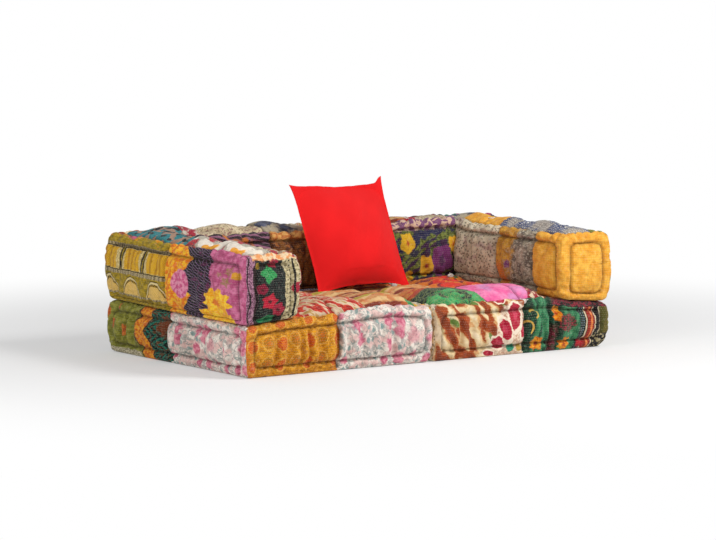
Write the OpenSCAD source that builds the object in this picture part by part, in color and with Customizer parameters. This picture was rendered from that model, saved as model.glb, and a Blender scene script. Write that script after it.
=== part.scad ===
// Modular pouf sofa: two box mattresses lie side by side, each carries an L-shaped corner bolster
// that is its arm and half of the back, and a square throw pillow leans in the middle.
// Millimetres, +Z up. The origin is on the floor under the middle of the sofa, the front faces -Y.
// One module is drawn in its own frame: u is the distance from the plane between the two modules,
// v the distance from the front. The left module is the right one mirrored.

/* [Seat mattresses] */
// Width of one seat mattress, along the sofa
seat_w = 850; // [750:10:950]
// Depth of a seat mattress, front to back
seat_d = 1000; // [920:10:1100]
// Height of a seat mattress at its free edges
seat_h = 216; // [206:1:240]
// Height that a seat mattress is pressed to under the outer edge of a bolster
seat_h_loaded = 196; // [176:1:202]
// How much higher it stays under the inner foot of a bolster
foot_rise = 19; // [0:1:30]
// How far the middle of a seat patch rises over the edges
seat_crown = 34; // [15:1:45]

/* [Corner bolsters] */
// Thickness of the arm limb
arm_w = 225; // [190:5:270]
// Thickness of the back limb
back_w = 260; // [220:5:300]
// Height of a bolster at its edges
bolster_h = 262; // [220:2:300]
// How far the top of a bolster is crowned
bolster_crown = 26; // [10:1:35]

/* [Rolled edges and quilting] */
// Width of the stitched roll along every edge
roll_w = 40; // [32:1:46]
// How far the roll stands proud of the face
roll_proud = 3; // [1:0.5:6]
// How far the corner of the roll is rounded back
roll_round = 10; // [6:1:14]
// Depth of the stitch line beside the roll
seam_depth = 8; // [4:1:12]
// How far a side panel puffs out
side_puff = 11; // [5:1:16]
// Spacing of the sewn channels on the side panels
channel_pitch = 92; // [80:1:130]
// Depth of a sewn channel
channel_depth = 10; // [4:1:14]
// Depth of the valley between two patches on top
patch_valley = 12; // [4:1:16]
// Extra depth at a tuft
tuft_dip = 14; // [6:1:20]
// How far a long side is drawn in between its corners
side_draw = 5; // [0:1:9]

/* [Throw pillow] */
// Side of the pillow's cover, between its corner tips
pillow_side = 450; // [380:5:500]
// Thickness of the pillow at its middle
pillow_t = 150; // [110:5:180]
// Angle that the pillow leans back
pillow_lean = 24; // [12:1:30]
// How far an edge of the pillow is drawn in between its corners
pillow_draw = 12; // [4:1:20]
// Distance of the pillow's middle from the plane between the modules
pillow_u = 75; // [40:5:120]
// Height of the pillow's lower tips over the edge of the seat
pillow_lift = 8; // [4:1:14]

/* [Filling and ties] */
// Least thickness of a padded cover over its filling
cover_t = 12; // [8:1:16]
// Distance of the filling from the outer faces, past the rolls
core_inset = 58; // [52:1:70]
// Corner radius of a filling block
core_r = 30; // [10:1:40]
// Diameter of the tying twine
twine_d = 3; // [2:0.5:5]
// Diameter of a tuft knot
knot_d = 16; // [10:1:22]
// Height of a tuft knot
knot_h = 6; // [4:1:8]
// Side of the pillow's inner pad
insert_side = 300; // [240:10:330]
// Thickness of the pillow's inner pad
insert_t = 60; // [40:2:70]

/* [Clearances] */
// Gap between cushions that lie against each other, and round each filling
soft_gap = 0.3; // [0.2:0.1:1]
// Width of the strip beside a bolster's foot where the seat stays pressed
foot_gap = 14; // [12:1:24]

/* [Hidden] */
$fn = 48;

// Places that the two limbs of a bolster start at, in the module's frame
arm_u = seat_w - arm_w;
back_v = seat_d - back_w;
// Lines where the seat starts to rise beside the bolster
foot_u = arm_u - foot_gap;
foot_v = back_v - foot_gap;
// Crest of a roll, from the edge
crest = roll_w * 0.45;
// Underside of a bolster at its outer edge and at its inner foot, and its top edge
bolster_z = seat_h_loaded + soft_gap;
bolster_foot_z = bolster_z + foot_rise;
bolster_top = bolster_z + bolster_h;
// Distance over which a panel swells beside its seam
swell = 90;
// Grid lines lie on the ridges and in the channels
channel = channel_pitch / 2;
// Tufts of a seat divide its top in three both ways
tuft_us = [seat_w / 3, seat_w * 2 / 3];
tuft_vs = [seat_d / 3, seat_d * 2 / 3];
// Tufts of a bolster: three along the back limb, three along the arm and one at the corner
back_tuft_us = [arm_u / 6, arm_u / 2, arm_u * 5 / 6];
arm_tuft_vs = [back_v / 6, back_v / 2, back_v * 5 / 6];
arm_mid = arm_u + arm_w / 2;
back_mid = back_v + back_w / 2;
bolster_tufts = concat(
    [for (u = back_tuft_us) [u, back_mid]],
    [for (v = arm_tuft_vs) [arm_mid, v]],
    [[arm_mid, back_mid]]
);

// Values shared by the forms

// n + 1 places from a to b, less the last one
function steps(a, b, pitch) =
    let (n = max(1, round((b - a) / pitch)))
    [for (k = [0 : n - 1]) a + (b - a) * k / n];

function ease(t) = let (s = min(1, max(0, t))) s * s * (3 - 2 * s);

// How far the surface stands out at distance d from an edge: rounded edge, roll, stitch line, face
function roll_profile(d) = lookup(d, [
    [0, -roll_round], [crest, roll_proud], [roll_w, -seam_depth], [roll_w + swell / 2, 0]
]);

// How much a panel has swelled at distance d from an edge, 0 to 1
function panel(d) = sin(90 * min(1, max(0, (d - roll_w) / swell)));

// 1 on a tuft and 0 halfway between two, for tufts that divide a length in three
valley_narrowness = 4;
function valley(x, length) = pow(cos(180 * 3 * x / length), valley_narrowness);

// 1 on a tuft of a bolster, falling to 0 about a hand's width away
function tuft_near(u, v) =
    max([for (t = bolster_tufts) exp(-(pow(u - t.x, 2) + pow(v - t.y, 2)) / pow(roll_w, 2))]);

// The pillow's surface

// How full the pillow is: lower is fuller towards its edges
pillow_taper = 0.42;
// Half the thickness at a place a, b of the pillow, both from -1 to 1
function pillow_half(a, b) = pillow_t / 2 * pow(max(0, (1 - a * a) * (1 - b * b)), pillow_taper);
// Place of a, b on side c (-1 front, 1 back), before the pillow is moved to its seat
function pillow_local(a, b, c) =
    let (
        x = a * (pillow_side / 2 - pillow_draw * (1 - b * b)),
        s = (b + 1) * pillow_side / 2 - b * pillow_draw * (1 - a * a),
        t = c * pillow_half(a, b)
    )
    [x, s * sin(pillow_lean) + t * cos(pillow_lean), s * cos(pillow_lean) - t * sin(pillow_lean)];

pillow_z = seat_h + pillow_lift;
// Front face of the back limb as height and greatest distance in front of its plane
back_face = [
    [bolster_foot_z, roll_proud], [bolster_foot_z + crest, roll_proud],
    [bolster_foot_z + roll_w, side_puff + channel_depth / 2],
    [bolster_top - roll_w, side_puff + channel_depth / 2],
    [bolster_top - crest, roll_proud], [bolster_top, 0],
    [bolster_top + roll_proud, -crest], [bolster_top + bolster_crown, -back_w / 2]
];
// Back side of the pillow as height and distance behind its lower edge, along its middle
pillow_back = [for (k = [1 : 48]) let (p = pillow_local(0, k / 25 - 1, 1)) [p.z + pillow_z, p.y]];
// The pillow is moved back until it stands off the back limb by the soft gap
pillow_reach = max(concat(
    [for (f = back_face) lookup(f[0], pillow_back) + f[1]],
    [for (p = pillow_back) if (p[0] < bolster_top + bolster_crown) p[1] + lookup(p[0], back_face)]
));
pillow_v = back_v - pillow_reach - soft_gap;

// The dent that the pillow's lower edge presses into a seat: how far past that edge it is level,
// how much deeper it is than the tips need, and how steeply it rises round that
dent_reach = 1.15 * channel;
dent_spare = 0.5;
dent_slope = 0.5;
// Highest that the seat may rise at u, v under a pillow whose middle is at u = pillow_at
function pressed(u, v, pillow_at) =
    let (
        du = max(0, abs(u - pillow_at) - pillow_side / 2 - dent_reach),
        dv = max(0, abs(v - pillow_v) - dent_reach)
    )
    pillow_z - soft_gap - dent_spare + dent_slope * norm([du, dv]);

// Grid lines of the forms

seat_us = concat(
    [0, crest], steps(roll_w, tuft_us[0], channel), steps(tuft_us[0], tuft_us[1], channel),
    steps(tuft_us[1], foot_u, channel), steps(foot_u, seat_w - roll_w, channel),
    [seat_w - roll_w, seat_w - crest, seat_w]
);
seat_vs = concat(
    [0, crest], steps(roll_w, tuft_vs[0], channel), steps(tuft_vs[0], tuft_vs[1], channel),
    steps(tuft_vs[1], foot_v, channel), steps(foot_v, seat_d - roll_w, channel),
    [seat_d - roll_w, seat_d - crest, seat_d]
);
bolster_us = concat(
    [0, crest], steps(roll_w, back_tuft_us[0], channel),
    steps(back_tuft_us[0], back_tuft_us[1], channel), steps(back_tuft_us[1], back_tuft_us[2], channel),
    steps(back_tuft_us[2], arm_u, channel),
    [arm_u, arm_u + crest, arm_u + roll_w, arm_mid, seat_w - roll_w, seat_w - crest, seat_w]
);
bolster_vs = concat(
    [0, crest], steps(roll_w, arm_tuft_vs[0], channel),
    steps(arm_tuft_vs[0], arm_tuft_vs[1], channel), steps(arm_tuft_vs[1], arm_tuft_vs[2], channel),
    steps(arm_tuft_vs[2], back_v, channel),
    [back_v, back_v + crest, back_v + roll_w, back_mid, seat_d - roll_w, seat_d - crest, seat_d]
);

// Outline corners, anticlockwise from above. The third number is 1 where the side that starts
// there lies against the other module, and so is flat.
seat_corners = [[0, 0, 0], [seat_w, 0, 0], [seat_w, seat_d, 0], [0, seat_d, 1]];
bolster_corners = [
    [0, back_v, 0], [arm_u, back_v, 0], [arm_u, 0, 0], [seat_w, 0, 0], [seat_w, seat_d, 0], [0, seat_d, 1]
];

// Height of a seat under a bolster: it rises in two planes from the two outer edges to the foot
function loaded_z(u, v) =
    seat_h_loaded + foot_rise * min(1, (seat_w - u) / arm_w, (seat_d - v) / back_w);
function bolster_under(u, v) = loaded_z(u, v) + soft_gap;

// Height of a seat at u, v
function seat_z(u, v, pillow_at) =
    let (
        d = min(u, v),
        du = valley(u, seat_w),
        dv = valley(v, seat_d),
        hump = seat_crown - patch_valley * max(du, dv) - tuft_dip * du * dv,
        free = seat_h + roll_profile(d) + panel(d) * hump,
        rise = ease((foot_u - u) / swell) * ease((foot_v - v) / swell),
        open = min(free, pressed(u, v, pillow_at)),
        outer = min(seat_w - u, seat_d - v),
        under = loaded_z(u, v) - (outer < 0.01 || d < 0.01 ? roll_round : 0)
    )
    under + max(0, open - under) * rise;

// Distance from the nearest edge of a bolster's outline
function bolster_edge(u, v) =
    let (
        outer = min(seat_w - u, seat_d - v, u, v),
        inner = v < back_v ? u - arm_u : u < arm_u ? v - back_v : max(u - arm_u, v - back_v)
    )
    min(outer, inner);

function bolster_z_at(u, v) =
    let (d = bolster_edge(u, v))
    bolster_top + roll_profile(d) + panel(d) * bolster_crown - tuft_dip * tuft_near(u, v);

// A padded box: top grid, sides in rows from the top edge down, and a flat underside

function near(a, b) = abs(a - b) < 0.01;
function along(lines, a, b) = a < b
    ? [for (x = lines) if (x > a - 0.01 && x < b - 0.01) x]
    : [for (k = [len(lines) - 1 : -1 : 0]) if (lines[k] < a + 0.01 && lines[k] > b + 0.01) lines[k]];

// The outline as grid points: u, v and the number of the side that starts or runs there
function outline(corners, us, vs) = [
    for (k = [0 : len(corners) - 1])
        let (a = corners[k], b = corners[(k + 1) % len(corners)])
        each near(a.y, b.y)
            ? [for (x = along(us, a.x, b.x)) [x, a.y, k]]
            : [for (y = along(vs, a.y, b.y)) [a.x, y, k]]
];
function side_dir(corners, k) =
    let (a = corners[k], b = corners[(k + 1) % len(corners)], d = [b.x - a.x, b.y - a.y])
    d / norm(d);
function outward(corners, k) = let (d = side_dir(corners, k)) [d.y, -d.x];
function side_length(corners, k) =
    let (a = corners[k], b = corners[(k + 1) % len(corners)]) norm([b.x - a.x, b.y - a.y]);
// A corner is hollow where the outline turns clockwise
function hollow(corners, k) =
    let (n = len(corners), p = side_dir(corners, (k + n - 1) % n), q = side_dir(corners, k))
    p.x * q.y - p.y * q.x < 0;

// 1 on the seam between the two patches of a long side, 0 a channel away from it
function patch_seam(s, length) = length > seat_w / 2 ? max(0, 1 - abs(s - length / 2) / channel) : 0;

// How far side k stands out at distance s along it and e from its top or bottom edge
function side_out(corners, k, s, e, ridge) =
    let (
        n = len(corners),
        length = side_length(corners, k),
        from_start = hollow(corners, k) ? s + roll_w : s,
        from_end = hollow(corners, (k + 1) % n) ? length - s + roll_w : length - s,
        d = min(from_start, from_end, e),
        flat = corners[k][2] > 0.5,
        proud = roll_profile(d),
        wave = ridge ? channel_depth / 2 : -channel_depth / 2,
        puff = panel(d) * (side_puff + wave - seam_depth * patch_seam(s, length)),
        draw = length > seat_w / 2 ? side_draw * sin(180 * s / length) : 0
    )
    flat ? min(0, proud) : proud + puff - draw;

// Every second grid line along a side is a ridge, the others are sewn channels
function is_ridge(us, vs, corners, p) =
    (abs(outward(corners, p[2]).y) > 0.5 ? index_of(us, p.x) : index_of(vs, p.y)) % 2 == 0;

// Move of outline point p at distance e from the top or bottom edge
function side_move(corners, p, ridge, e) =
    let (
        n = len(corners),
        k = p[2],
        a = corners[k],
        s = norm([p.x - a.x, p.y - a.y]),
        before = (k + n - 1) % n
    )
    s > 0.01
        ? outward(corners, k) * side_out(corners, k, s, e, ridge)
        : hollow(corners, k)
            ? (outward(corners, k) + outward(corners, before)) * roll_profile(min(e, roll_w))
            : -(outward(corners, k) + outward(corners, before)) * roll_round;

// Points of the form. tops holds the height at each grid point, and under(u, v) is the underside.
function box_points(us, vs, corners, loop, tops, under) =
    let (
        edge = [for (p = loop) tops[index_of(us, p.x)][index_of(vs, p.y)] + roll_round],
        ridges = [for (p = loop) is_ridge(us, vs, corners, p)],
        move0 = [for (m = [0 : len(loop) - 1]) side_move(corners, loop[m], ridges[m], 0)],
        on_loop = function (u, v) [for (m = [0 : len(loop) - 1]) if (near(loop[m].x, u) && near(loop[m].y, v)) m]
    )
    concat(
        [for (i = [0 : len(us) - 1]) for (j = [0 : len(vs) - 1])
            let (m = on_loop(us[i], vs[j]), d = len(m) > 0 ? move0[m[0]] : [0, 0])
            [us[i] + d.x, vs[j] + d.y, tops[i][j]]],
        [for (r = [1 : 6]) for (m = [0 : len(loop) - 1])
            let (
                low = under(loop[m].x, loop[m].y),
                h = edge[m] - low,
                up = [0, h - crest, h - roll_w, h / 2, roll_w, crest, 0][r],
                e = [0, crest, roll_w, h / 2, roll_w, crest, 0][r],
                d = side_move(corners, loop[m], ridges[m], e),
                u = loop[m].x + d.x,
                v = loop[m].y + d.y
            )
            [u, v, up > 0 ? low + up : under(u, v)]]
    );

function index_of(lines, x) = [for (i = [0 : len(lines) - 1]) if (near(lines[i], x)) i][0];

// Faces of the form, clockwise from outside. inside(i, j) says whether a grid cell belongs to it,
// and fans lists the underside's fans as [middle point, outline numbers].
function box_faces(us, vs, loop, inside, fans) =
    let (
        nu = len(us),
        nv = len(vs),
        n = len(loop),
        at = function (i, j) i * nv + j,
        row = function (r, m) r == 0
            ? at(index_of(us, loop[m % n].x), index_of(vs, loop[m % n].y))
            : nu * nv + (r - 1) * n + m % n
    )
    concat(
        [for (i = [0 : nu - 2]) for (j = [0 : nv - 2]) if (inside(us[i], vs[j]))
            each [[at(i, j), at(i + 1, j + 1), at(i + 1, j)], [at(i, j), at(i, j + 1), at(i + 1, j + 1)]]],
        [for (r = [0 : 5]) for (m = [0 : n - 1])
            each [[row(r, m), row(r, m + 1), row(r + 1, m + 1)], [row(r, m), row(r + 1, m + 1), row(r + 1, m)]]],
        [for (f = fans) for (k = [0 : len(f[1]) - 1])
            [f[0], row(6, f[1][k]), row(6, f[1][(k + 1) % len(f[1])])]]
    );

// Both modules' shapes in the sofa's frame

module right_module() translate([soft_gap / 2, -seat_d / 2, 0]) children();
module left_module() mirror([1, 0, 0]) right_module() children();

module seat_form(pillow_at) {
    loop = outline(seat_corners, seat_us, seat_vs);
    tops = [for (u = seat_us) [for (v = seat_vs) seat_z(u, v, pillow_at)]];
    points = concat(
        box_points(seat_us, seat_vs, seat_corners, loop, tops, function (u, v) 0),
        [[seat_w / 2, seat_d / 2, 0]]
    );
    polyhedron(points, box_faces(
        seat_us, seat_vs, loop, function (u, v) true,
        [[len(points) - 1, [for (m = [0 : len(loop) - 1]) m]]]
    ), convexity = 6);
}

module bolster_form() {
    loop = outline(bolster_corners, bolster_us, bolster_vs);
    n = len(loop);
    tops = [for (u = bolster_us) [for (v = bolster_vs)
        u >= arm_u || v >= back_v ? bolster_z_at(u, v) : bolster_top]];
    points = concat(
        box_points(bolster_us, bolster_vs, bolster_corners, loop, tops, function (u, v) bolster_under(u, v)),
        [for (p = [[arm_mid, seat_d / 2], [arm_u / 2, back_mid]]) [p.x, p.y, bolster_under(p.x, p.y)]]
    );
    // The underside's two planes meet on the line between the inner and the outer corner
    inner = [for (m = [0 : n - 1]) if (near(loop[m].x, arm_u) && near(loop[m].y, back_v)) m][0];
    outer = [for (m = [0 : n - 1]) if (near(loop[m].x, seat_w) && near(loop[m].y, seat_d)) m][0];
    polyhedron(points, box_faces(
        bolster_us, bolster_vs, loop, function (u, v) u > arm_u - 0.01 || v > back_v - 0.01,
        [
            [len(points) - 2, [for (m = [inner : outer]) m]],
            [len(points) - 1, [for (m = [outer : n + inner]) m % n]]
        ]
    ), convexity = 8);
}

// A block with rounded upright edges from corner a to corner b in plan
module block(a, b, low, high, r) {
    translate([0, 0, low]) linear_extrude(high - low) rounded(a, b, r);
}
module rounded(a, b, r) {
    union() {
        translate([a.x + r, a.y]) square([b.x - a.x - 2 * r, b.y - a.y]);
        translate([a.x, a.y + r]) square([b.x - a.x, b.y - a.y - 2 * r]);
        for (x = [a.x + r, b.x - r]) for (y = [a.y + r, b.y - r]) translate([x, y]) circle(r);
    }
}

// Filling of a seat, grown by g to cut the cover's hollow
module seat_core(g) {
    i = core_inset - g;
    block([i, i], [seat_w - i, seat_d - i], cover_t - g, seat_h_loaded - cover_t + g, core_r + g);
}

// Filling of a bolster: two crossing blocks, grown by g to cut the hollow
module bolster_core(g) {
    i = core_inset - g;
    low = bolster_foot_z + cover_t - g;
    high = bolster_top - roll_w + g;
    translate([0, 0, low]) linear_extrude(high - low) union() {
        rounded([arm_u + i, i], [seat_w - i, seat_d - i], core_r + g);
        rounded([i, back_v + i], [seat_w - i, seat_d - i], core_r + g);
    }
}

// A tie: twine through the cushion, a knot in the dimple on top and one inside the lower cover
module tie(place, low, top) {
    translate([place.x, place.y, 0]) {
        translate([0, 0, low + knot_h]) cylinder(h = top - low - knot_h, d = twine_d);
        translate([0, 0, low]) cylinder(h = knot_h, d = knot_d);
        translate([0, 0, top - knot_h / 2]) cylinder(h = knot_h, d = knot_d);
    }
}

module seat_ties(pillow_at)
    for (u = tuft_us) for (v = tuft_vs)
        tie([u, v], (cover_t - knot_h) / 2, seat_z(u, v, pillow_at));

module bolster_ties()
    for (t = bolster_tufts)
        tie(t, bolster_under(t.x, t.y) + (cover_t - knot_h) / 2, bolster_z_at(t.x, t.y));

module left_seat_cover() color("#c89a3c") left_module() difference() {
    seat_form(-pillow_u);
    seat_core(soft_gap);
}
module left_seat_filling() color("#efe6d2") left_module() seat_core(0);
module left_seat_ties() color("#f2f0ea") left_module() seat_ties(-pillow_u);

module right_seat_cover() color("#4c7a4a") right_module() difference() {
    seat_form(pillow_u);
    seat_core(soft_gap);
}
module right_seat_filling() color("#efe6d2") right_module() seat_core(0);
module right_seat_ties() color("#f2f0ea") right_module() seat_ties(pillow_u);

module left_bolster_cover() color("#9a4f7e") left_module() difference() {
    bolster_form();
    bolster_core(soft_gap);
}
module left_bolster_filling() color("#efe6d2") left_module() bolster_core(0);
module left_bolster_ties() color("#f2f0ea") left_module() bolster_ties();

module right_bolster_cover() color("#e0972f") right_module() difference() {
    bolster_form();
    bolster_core(soft_gap);
}
module right_bolster_filling() color("#efe6d2") right_module() bolster_core(0);
module right_bolster_ties() color("#f2f0ea") right_module() bolster_ties();

// The pillow: both faces are grids that share their edge
pillow_n = 12;
module pillow_form() {
    n = pillow_n;
    at = function (i, j) i * (n + 1) + j;
    inner = function (i, j) i == 0 || i == n || j == 0 || j == n
        ? at(i, j)
        : (n + 1) * (n + 1) + (i - 1) * (n - 1) + j - 1;
    place = function (i, j, c) pillow_local(2 * i / n - 1, 2 * j / n - 1, c);
    points = concat(
        [for (i = [0 : n]) for (j = [0 : n]) place(i, j, -1)],
        [for (i = [1 : n - 1]) for (j = [1 : n - 1]) place(i, j, 1)]
    );
    // Each cell is split through the corner that points at the pillow's middle, so no tip is flat
    faces = [for (i = [0 : n - 1]) for (j = [0 : n - 1]) each (i < n / 2) == (j < n / 2) ? [
        [at(i, j), at(i, j + 1), at(i + 1, j + 1)], [at(i, j), at(i + 1, j + 1), at(i + 1, j)],
        [inner(i, j), inner(i + 1, j + 1), inner(i, j + 1)],
        [inner(i, j), inner(i + 1, j), inner(i + 1, j + 1)]
    ] : [
        [at(i, j), at(i, j + 1), at(i + 1, j)], [at(i + 1, j), at(i, j + 1), at(i + 1, j + 1)],
        [inner(i, j), inner(i + 1, j), inner(i, j + 1)],
        [inner(i + 1, j), inner(i + 1, j + 1), inner(i, j + 1)]
    ]];
    polyhedron(points, faces, convexity = 4);
}
module pillow_pad(g) {
    s = insert_side / 2 + g;
    t = insert_t / 2 + g;
    rotate([-pillow_lean, 0, 0]) translate([0, 0, pillow_side / 2]) rotate([90, 0, 0])
        block([-s, -s], [s, s], -t, t, core_r + g);
}
module pillow_place() translate([pillow_u, pillow_v - seat_d / 2, pillow_z]) children();

module pillow_cover() color("#e81c1c") pillow_place() difference() {
    pillow_form();
    pillow_pad(soft_gap);
}
module pillow_insert() color("#f4f4f2") pillow_place() pillow_pad(0);

left_seat_cover();
left_seat_filling();
left_seat_ties();
right_seat_cover();
right_seat_filling();
right_seat_ties();
left_bolster_cover();
left_bolster_filling();
left_bolster_ties();
right_bolster_cover();
right_bolster_filling();
right_bolster_ties();
pillow_cover();
pillow_insert();
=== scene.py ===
import math

import bmesh
import bpy
import numpy as np
from mathutils import Matrix, Vector, noise


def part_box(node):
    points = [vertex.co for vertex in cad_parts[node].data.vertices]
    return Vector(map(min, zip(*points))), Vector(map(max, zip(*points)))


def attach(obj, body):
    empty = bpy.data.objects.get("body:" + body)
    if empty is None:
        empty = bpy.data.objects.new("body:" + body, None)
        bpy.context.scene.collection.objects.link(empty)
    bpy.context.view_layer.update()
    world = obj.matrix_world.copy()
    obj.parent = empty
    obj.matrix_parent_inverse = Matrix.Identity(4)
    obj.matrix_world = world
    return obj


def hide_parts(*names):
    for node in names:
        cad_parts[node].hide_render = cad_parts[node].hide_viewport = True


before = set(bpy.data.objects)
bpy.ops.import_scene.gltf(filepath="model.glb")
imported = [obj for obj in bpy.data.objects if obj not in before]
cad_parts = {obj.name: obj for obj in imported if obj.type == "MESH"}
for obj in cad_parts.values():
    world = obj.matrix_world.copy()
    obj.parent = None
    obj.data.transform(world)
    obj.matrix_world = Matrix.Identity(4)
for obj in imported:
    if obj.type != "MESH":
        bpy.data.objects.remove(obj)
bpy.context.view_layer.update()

scene = bpy.context.scene

# Viewpoint
# A long lens a little above the seats, turned towards the left front corner: the left arm's side
# and the whole front show, and the seats' tops are seen at a grazing angle.
IMAGE_WIDTH = 716
FOCAL_PIXELS = 3300
CAMERA_YAW = math.radians(34.5)
CAMERA_PITCH = math.radians(6.02)
CAMERA_DISTANCE = 13.016
CAMERA_AIM = Vector((-0.0067, 0, 0.3143))


def show(name, data):
    """Puts a new object with this mesh, lens or lamp into the scene"""
    thing = bpy.data.objects.new(name, data)
    scene.collection.objects.link(thing)
    return thing


view_line = Vector((
    math.sin(CAMERA_YAW) * math.cos(CAMERA_PITCH),
    math.cos(CAMERA_YAW) * math.cos(CAMERA_PITCH),
    -math.sin(CAMERA_PITCH),
))
lens = bpy.data.cameras.new("viewpoint")
lens.sensor_width = 36
lens.lens = FOCAL_PIXELS * lens.sensor_width / IMAGE_WIDTH
lens.clip_end = 50
viewpoint = show("viewpoint", lens)
viewpoint.location = CAMERA_AIM - view_line * CAMERA_DISTANCE
viewpoint.rotation_euler = view_line.to_track_quat("-Z", "Y").to_euler()
scene.camera = viewpoint

# Patchwork cloth
# The covers are sewn from squares of old printed cotton, each two layers held together by rows of
# running stitch. A print is painted on flat cloth: s runs to the right and t up, in metres, from
# the patch's lower left corner, so the print follows the cloth over rolls and creases.
STITCH_ROW = 0.0085
STITCH = 0.0075
THREAD_WIDTH = 0.0007
THREAD = "#d9cfba"
THREAD_SHOWS = 0.2
SEAM_SHADE = "#26180f"
WORN = "#efe6d6"
GRIME = "#2c211a"
cloth_nodes = None


class Dye:
    """A number or colour that varies over the cloth, worked out by shader nodes"""

    def __init__(self, socket):
        self.socket = socket

    def __add__(self, other):
        return maths("ADD", self, other)

    def __radd__(self, other):
        return maths("ADD", other, self)

    def __sub__(self, other):
        return maths("SUBTRACT", self, other)

    def __rsub__(self, other):
        return maths("SUBTRACT", other, self)

    def __mul__(self, other):
        return maths("MULTIPLY", self, other)

    def __truediv__(self, other):
        return maths("DIVIDE", self, other)

    def __pow__(self, other):
        return maths("POWER", self, other)

    def __abs__(self):
        return maths("ABSOLUTE", self)


def linear(colour):
    """A colour written as red, green and blue hex digits, as the shader needs it"""
    parts = [int(colour[k:k + 2], 16) / 255 for k in (1, 3, 5)]
    return [c / 12.92 if c <= 0.04045 else ((c + 0.055) / 1.055) ** 2.4 for c in parts] + [1]


def feed(node, inputs):
    """Gives a shader node its inputs, each a dye, a colour, a vector or a number"""
    for place, value in inputs.items():
        socket = node.inputs[place]
        if isinstance(value, Dye):
            node.id_data.links.new(value.socket, socket)
        else:
            socket.default_value = linear(value) if isinstance(value, str) else value


def dye(kind, inputs, out=0, **settings):
    """A new node of the material in hand, and the dye that leaves it"""
    node = cloth_nodes.new("ShaderNode" + kind)
    for name, value in settings.items():
        setattr(node, name, value)
    feed(node, inputs)
    return Dye(node.outputs[out])


def maths(operation, *values):
    return dye("Math", dict(enumerate(values)), operation=operation)


def sine(value):
    return maths("SINE", value)


def mix(share, under, over):
    """The colour over lies on the colour under where share is 1"""
    return dye("Mix", {0: share, 6: under, 7: over}, 2, data_type="RGBA")


def edge(value, place, softness=0.1):
    """0 well below place and 1 well above it"""
    reach = {0: value, 1: place - softness, 2: place + softness}
    return dye("MapRange", reach, interpolation_type="SMOOTHSTEP")


def below(value, place, softness=0.1):
    return 1 - edge(value, place, softness)


def within(value, low, high, softness=0.002):
    return edge(value, low, softness) * below(value, high, softness)


def split(vector):
    """The three numbers of a place"""
    node = dye("SeparateXYZ", {0: vector}).socket.node
    return [Dye(part) for part in node.outputs]


def mottle(s, t, size, seed=0.0, detail=2.0):
    """Soft cloudy variation, about 0.3 to 0.7, with blots of the size given"""
    place = dye("CombineXYZ", {0: s, 1: t, 2: seed})
    return dye("TexNoise", {"Vector": place, "Scale": 1 / size, "Detail": detail})


def clouds(s, t, size, softness=0.1, seed=0.0, place=0.5):
    """1 in soft clouds of the size given and 0 between them"""
    return edge(mottle(s, t, size, seed), place, softness)


def tones(s, t, under, over, size, softness=0.1, seed=0.0, place=0.5):
    """Clouds of the colour over on the colour under"""
    return mix(clouds(s, t, size, softness, seed, place), under, over)


def blots(s, t, pitch, seed=0.0, scatter=1.0):
    """Distance from the nearest of scattered points a pitch apart, in pitches, and a random number"""
    place = dye("CombineXYZ", {0: s, 1: t, 2: seed})
    gap = dye("TexVoronoi", {"Vector": place, "Scale": 1 / pitch, "Randomness": scatter})
    return gap, dye("SeparateColor", {0: Dye(gap.socket.node.outputs["Color"])})


def distance(x, y):
    return (x * x + y * y) ** 0.5


def petals(s, t, count, depth, turn=0.0):
    """Distance from the middle of a flower, longer in the notches between its petals"""
    angle = maths("ARCTAN2", t, s)
    return distance(s, t) * (1 + depth - maths("COSINE", angle * count + turn) * depth)


def repeat(value, pitch):
    """Place within a repeat, from minus half to half a pitch"""
    return maths("WRAP", value, pitch / 2, -pitch / 2)


def start_material(name):
    """Starts a material, whose nodes the functions above then add to"""
    global cloth_nodes
    material = bpy.data.materials.new(name)
    material.use_nodes = True
    cloth_nodes = material.node_tree.nodes
    return material


def start_cloth(name):
    """Starts a material and gives the place on the flat cloth"""
    material = start_material(name)
    s, t, rest = split(dye("UVMap", {}, uv_map="flat_cloth"))
    return material, s, t


def finish_cloth(colour, height):
    """Gives the material in hand its matt surface, with the height of the cloth in millimetres"""
    feed(cloth_nodes["Principled BSDF"], {
        "Base Color": colour,
        "Roughness": 0.88,
        "Specular IOR Level": 0.22,
        "Sheen Weight": 0.06,
        "Sheen Roughness": 0.5,
        "Normal": dye("Bump", {"Strength": 0.85, "Distance": 0.001, "Height": height}),
    })


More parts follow.
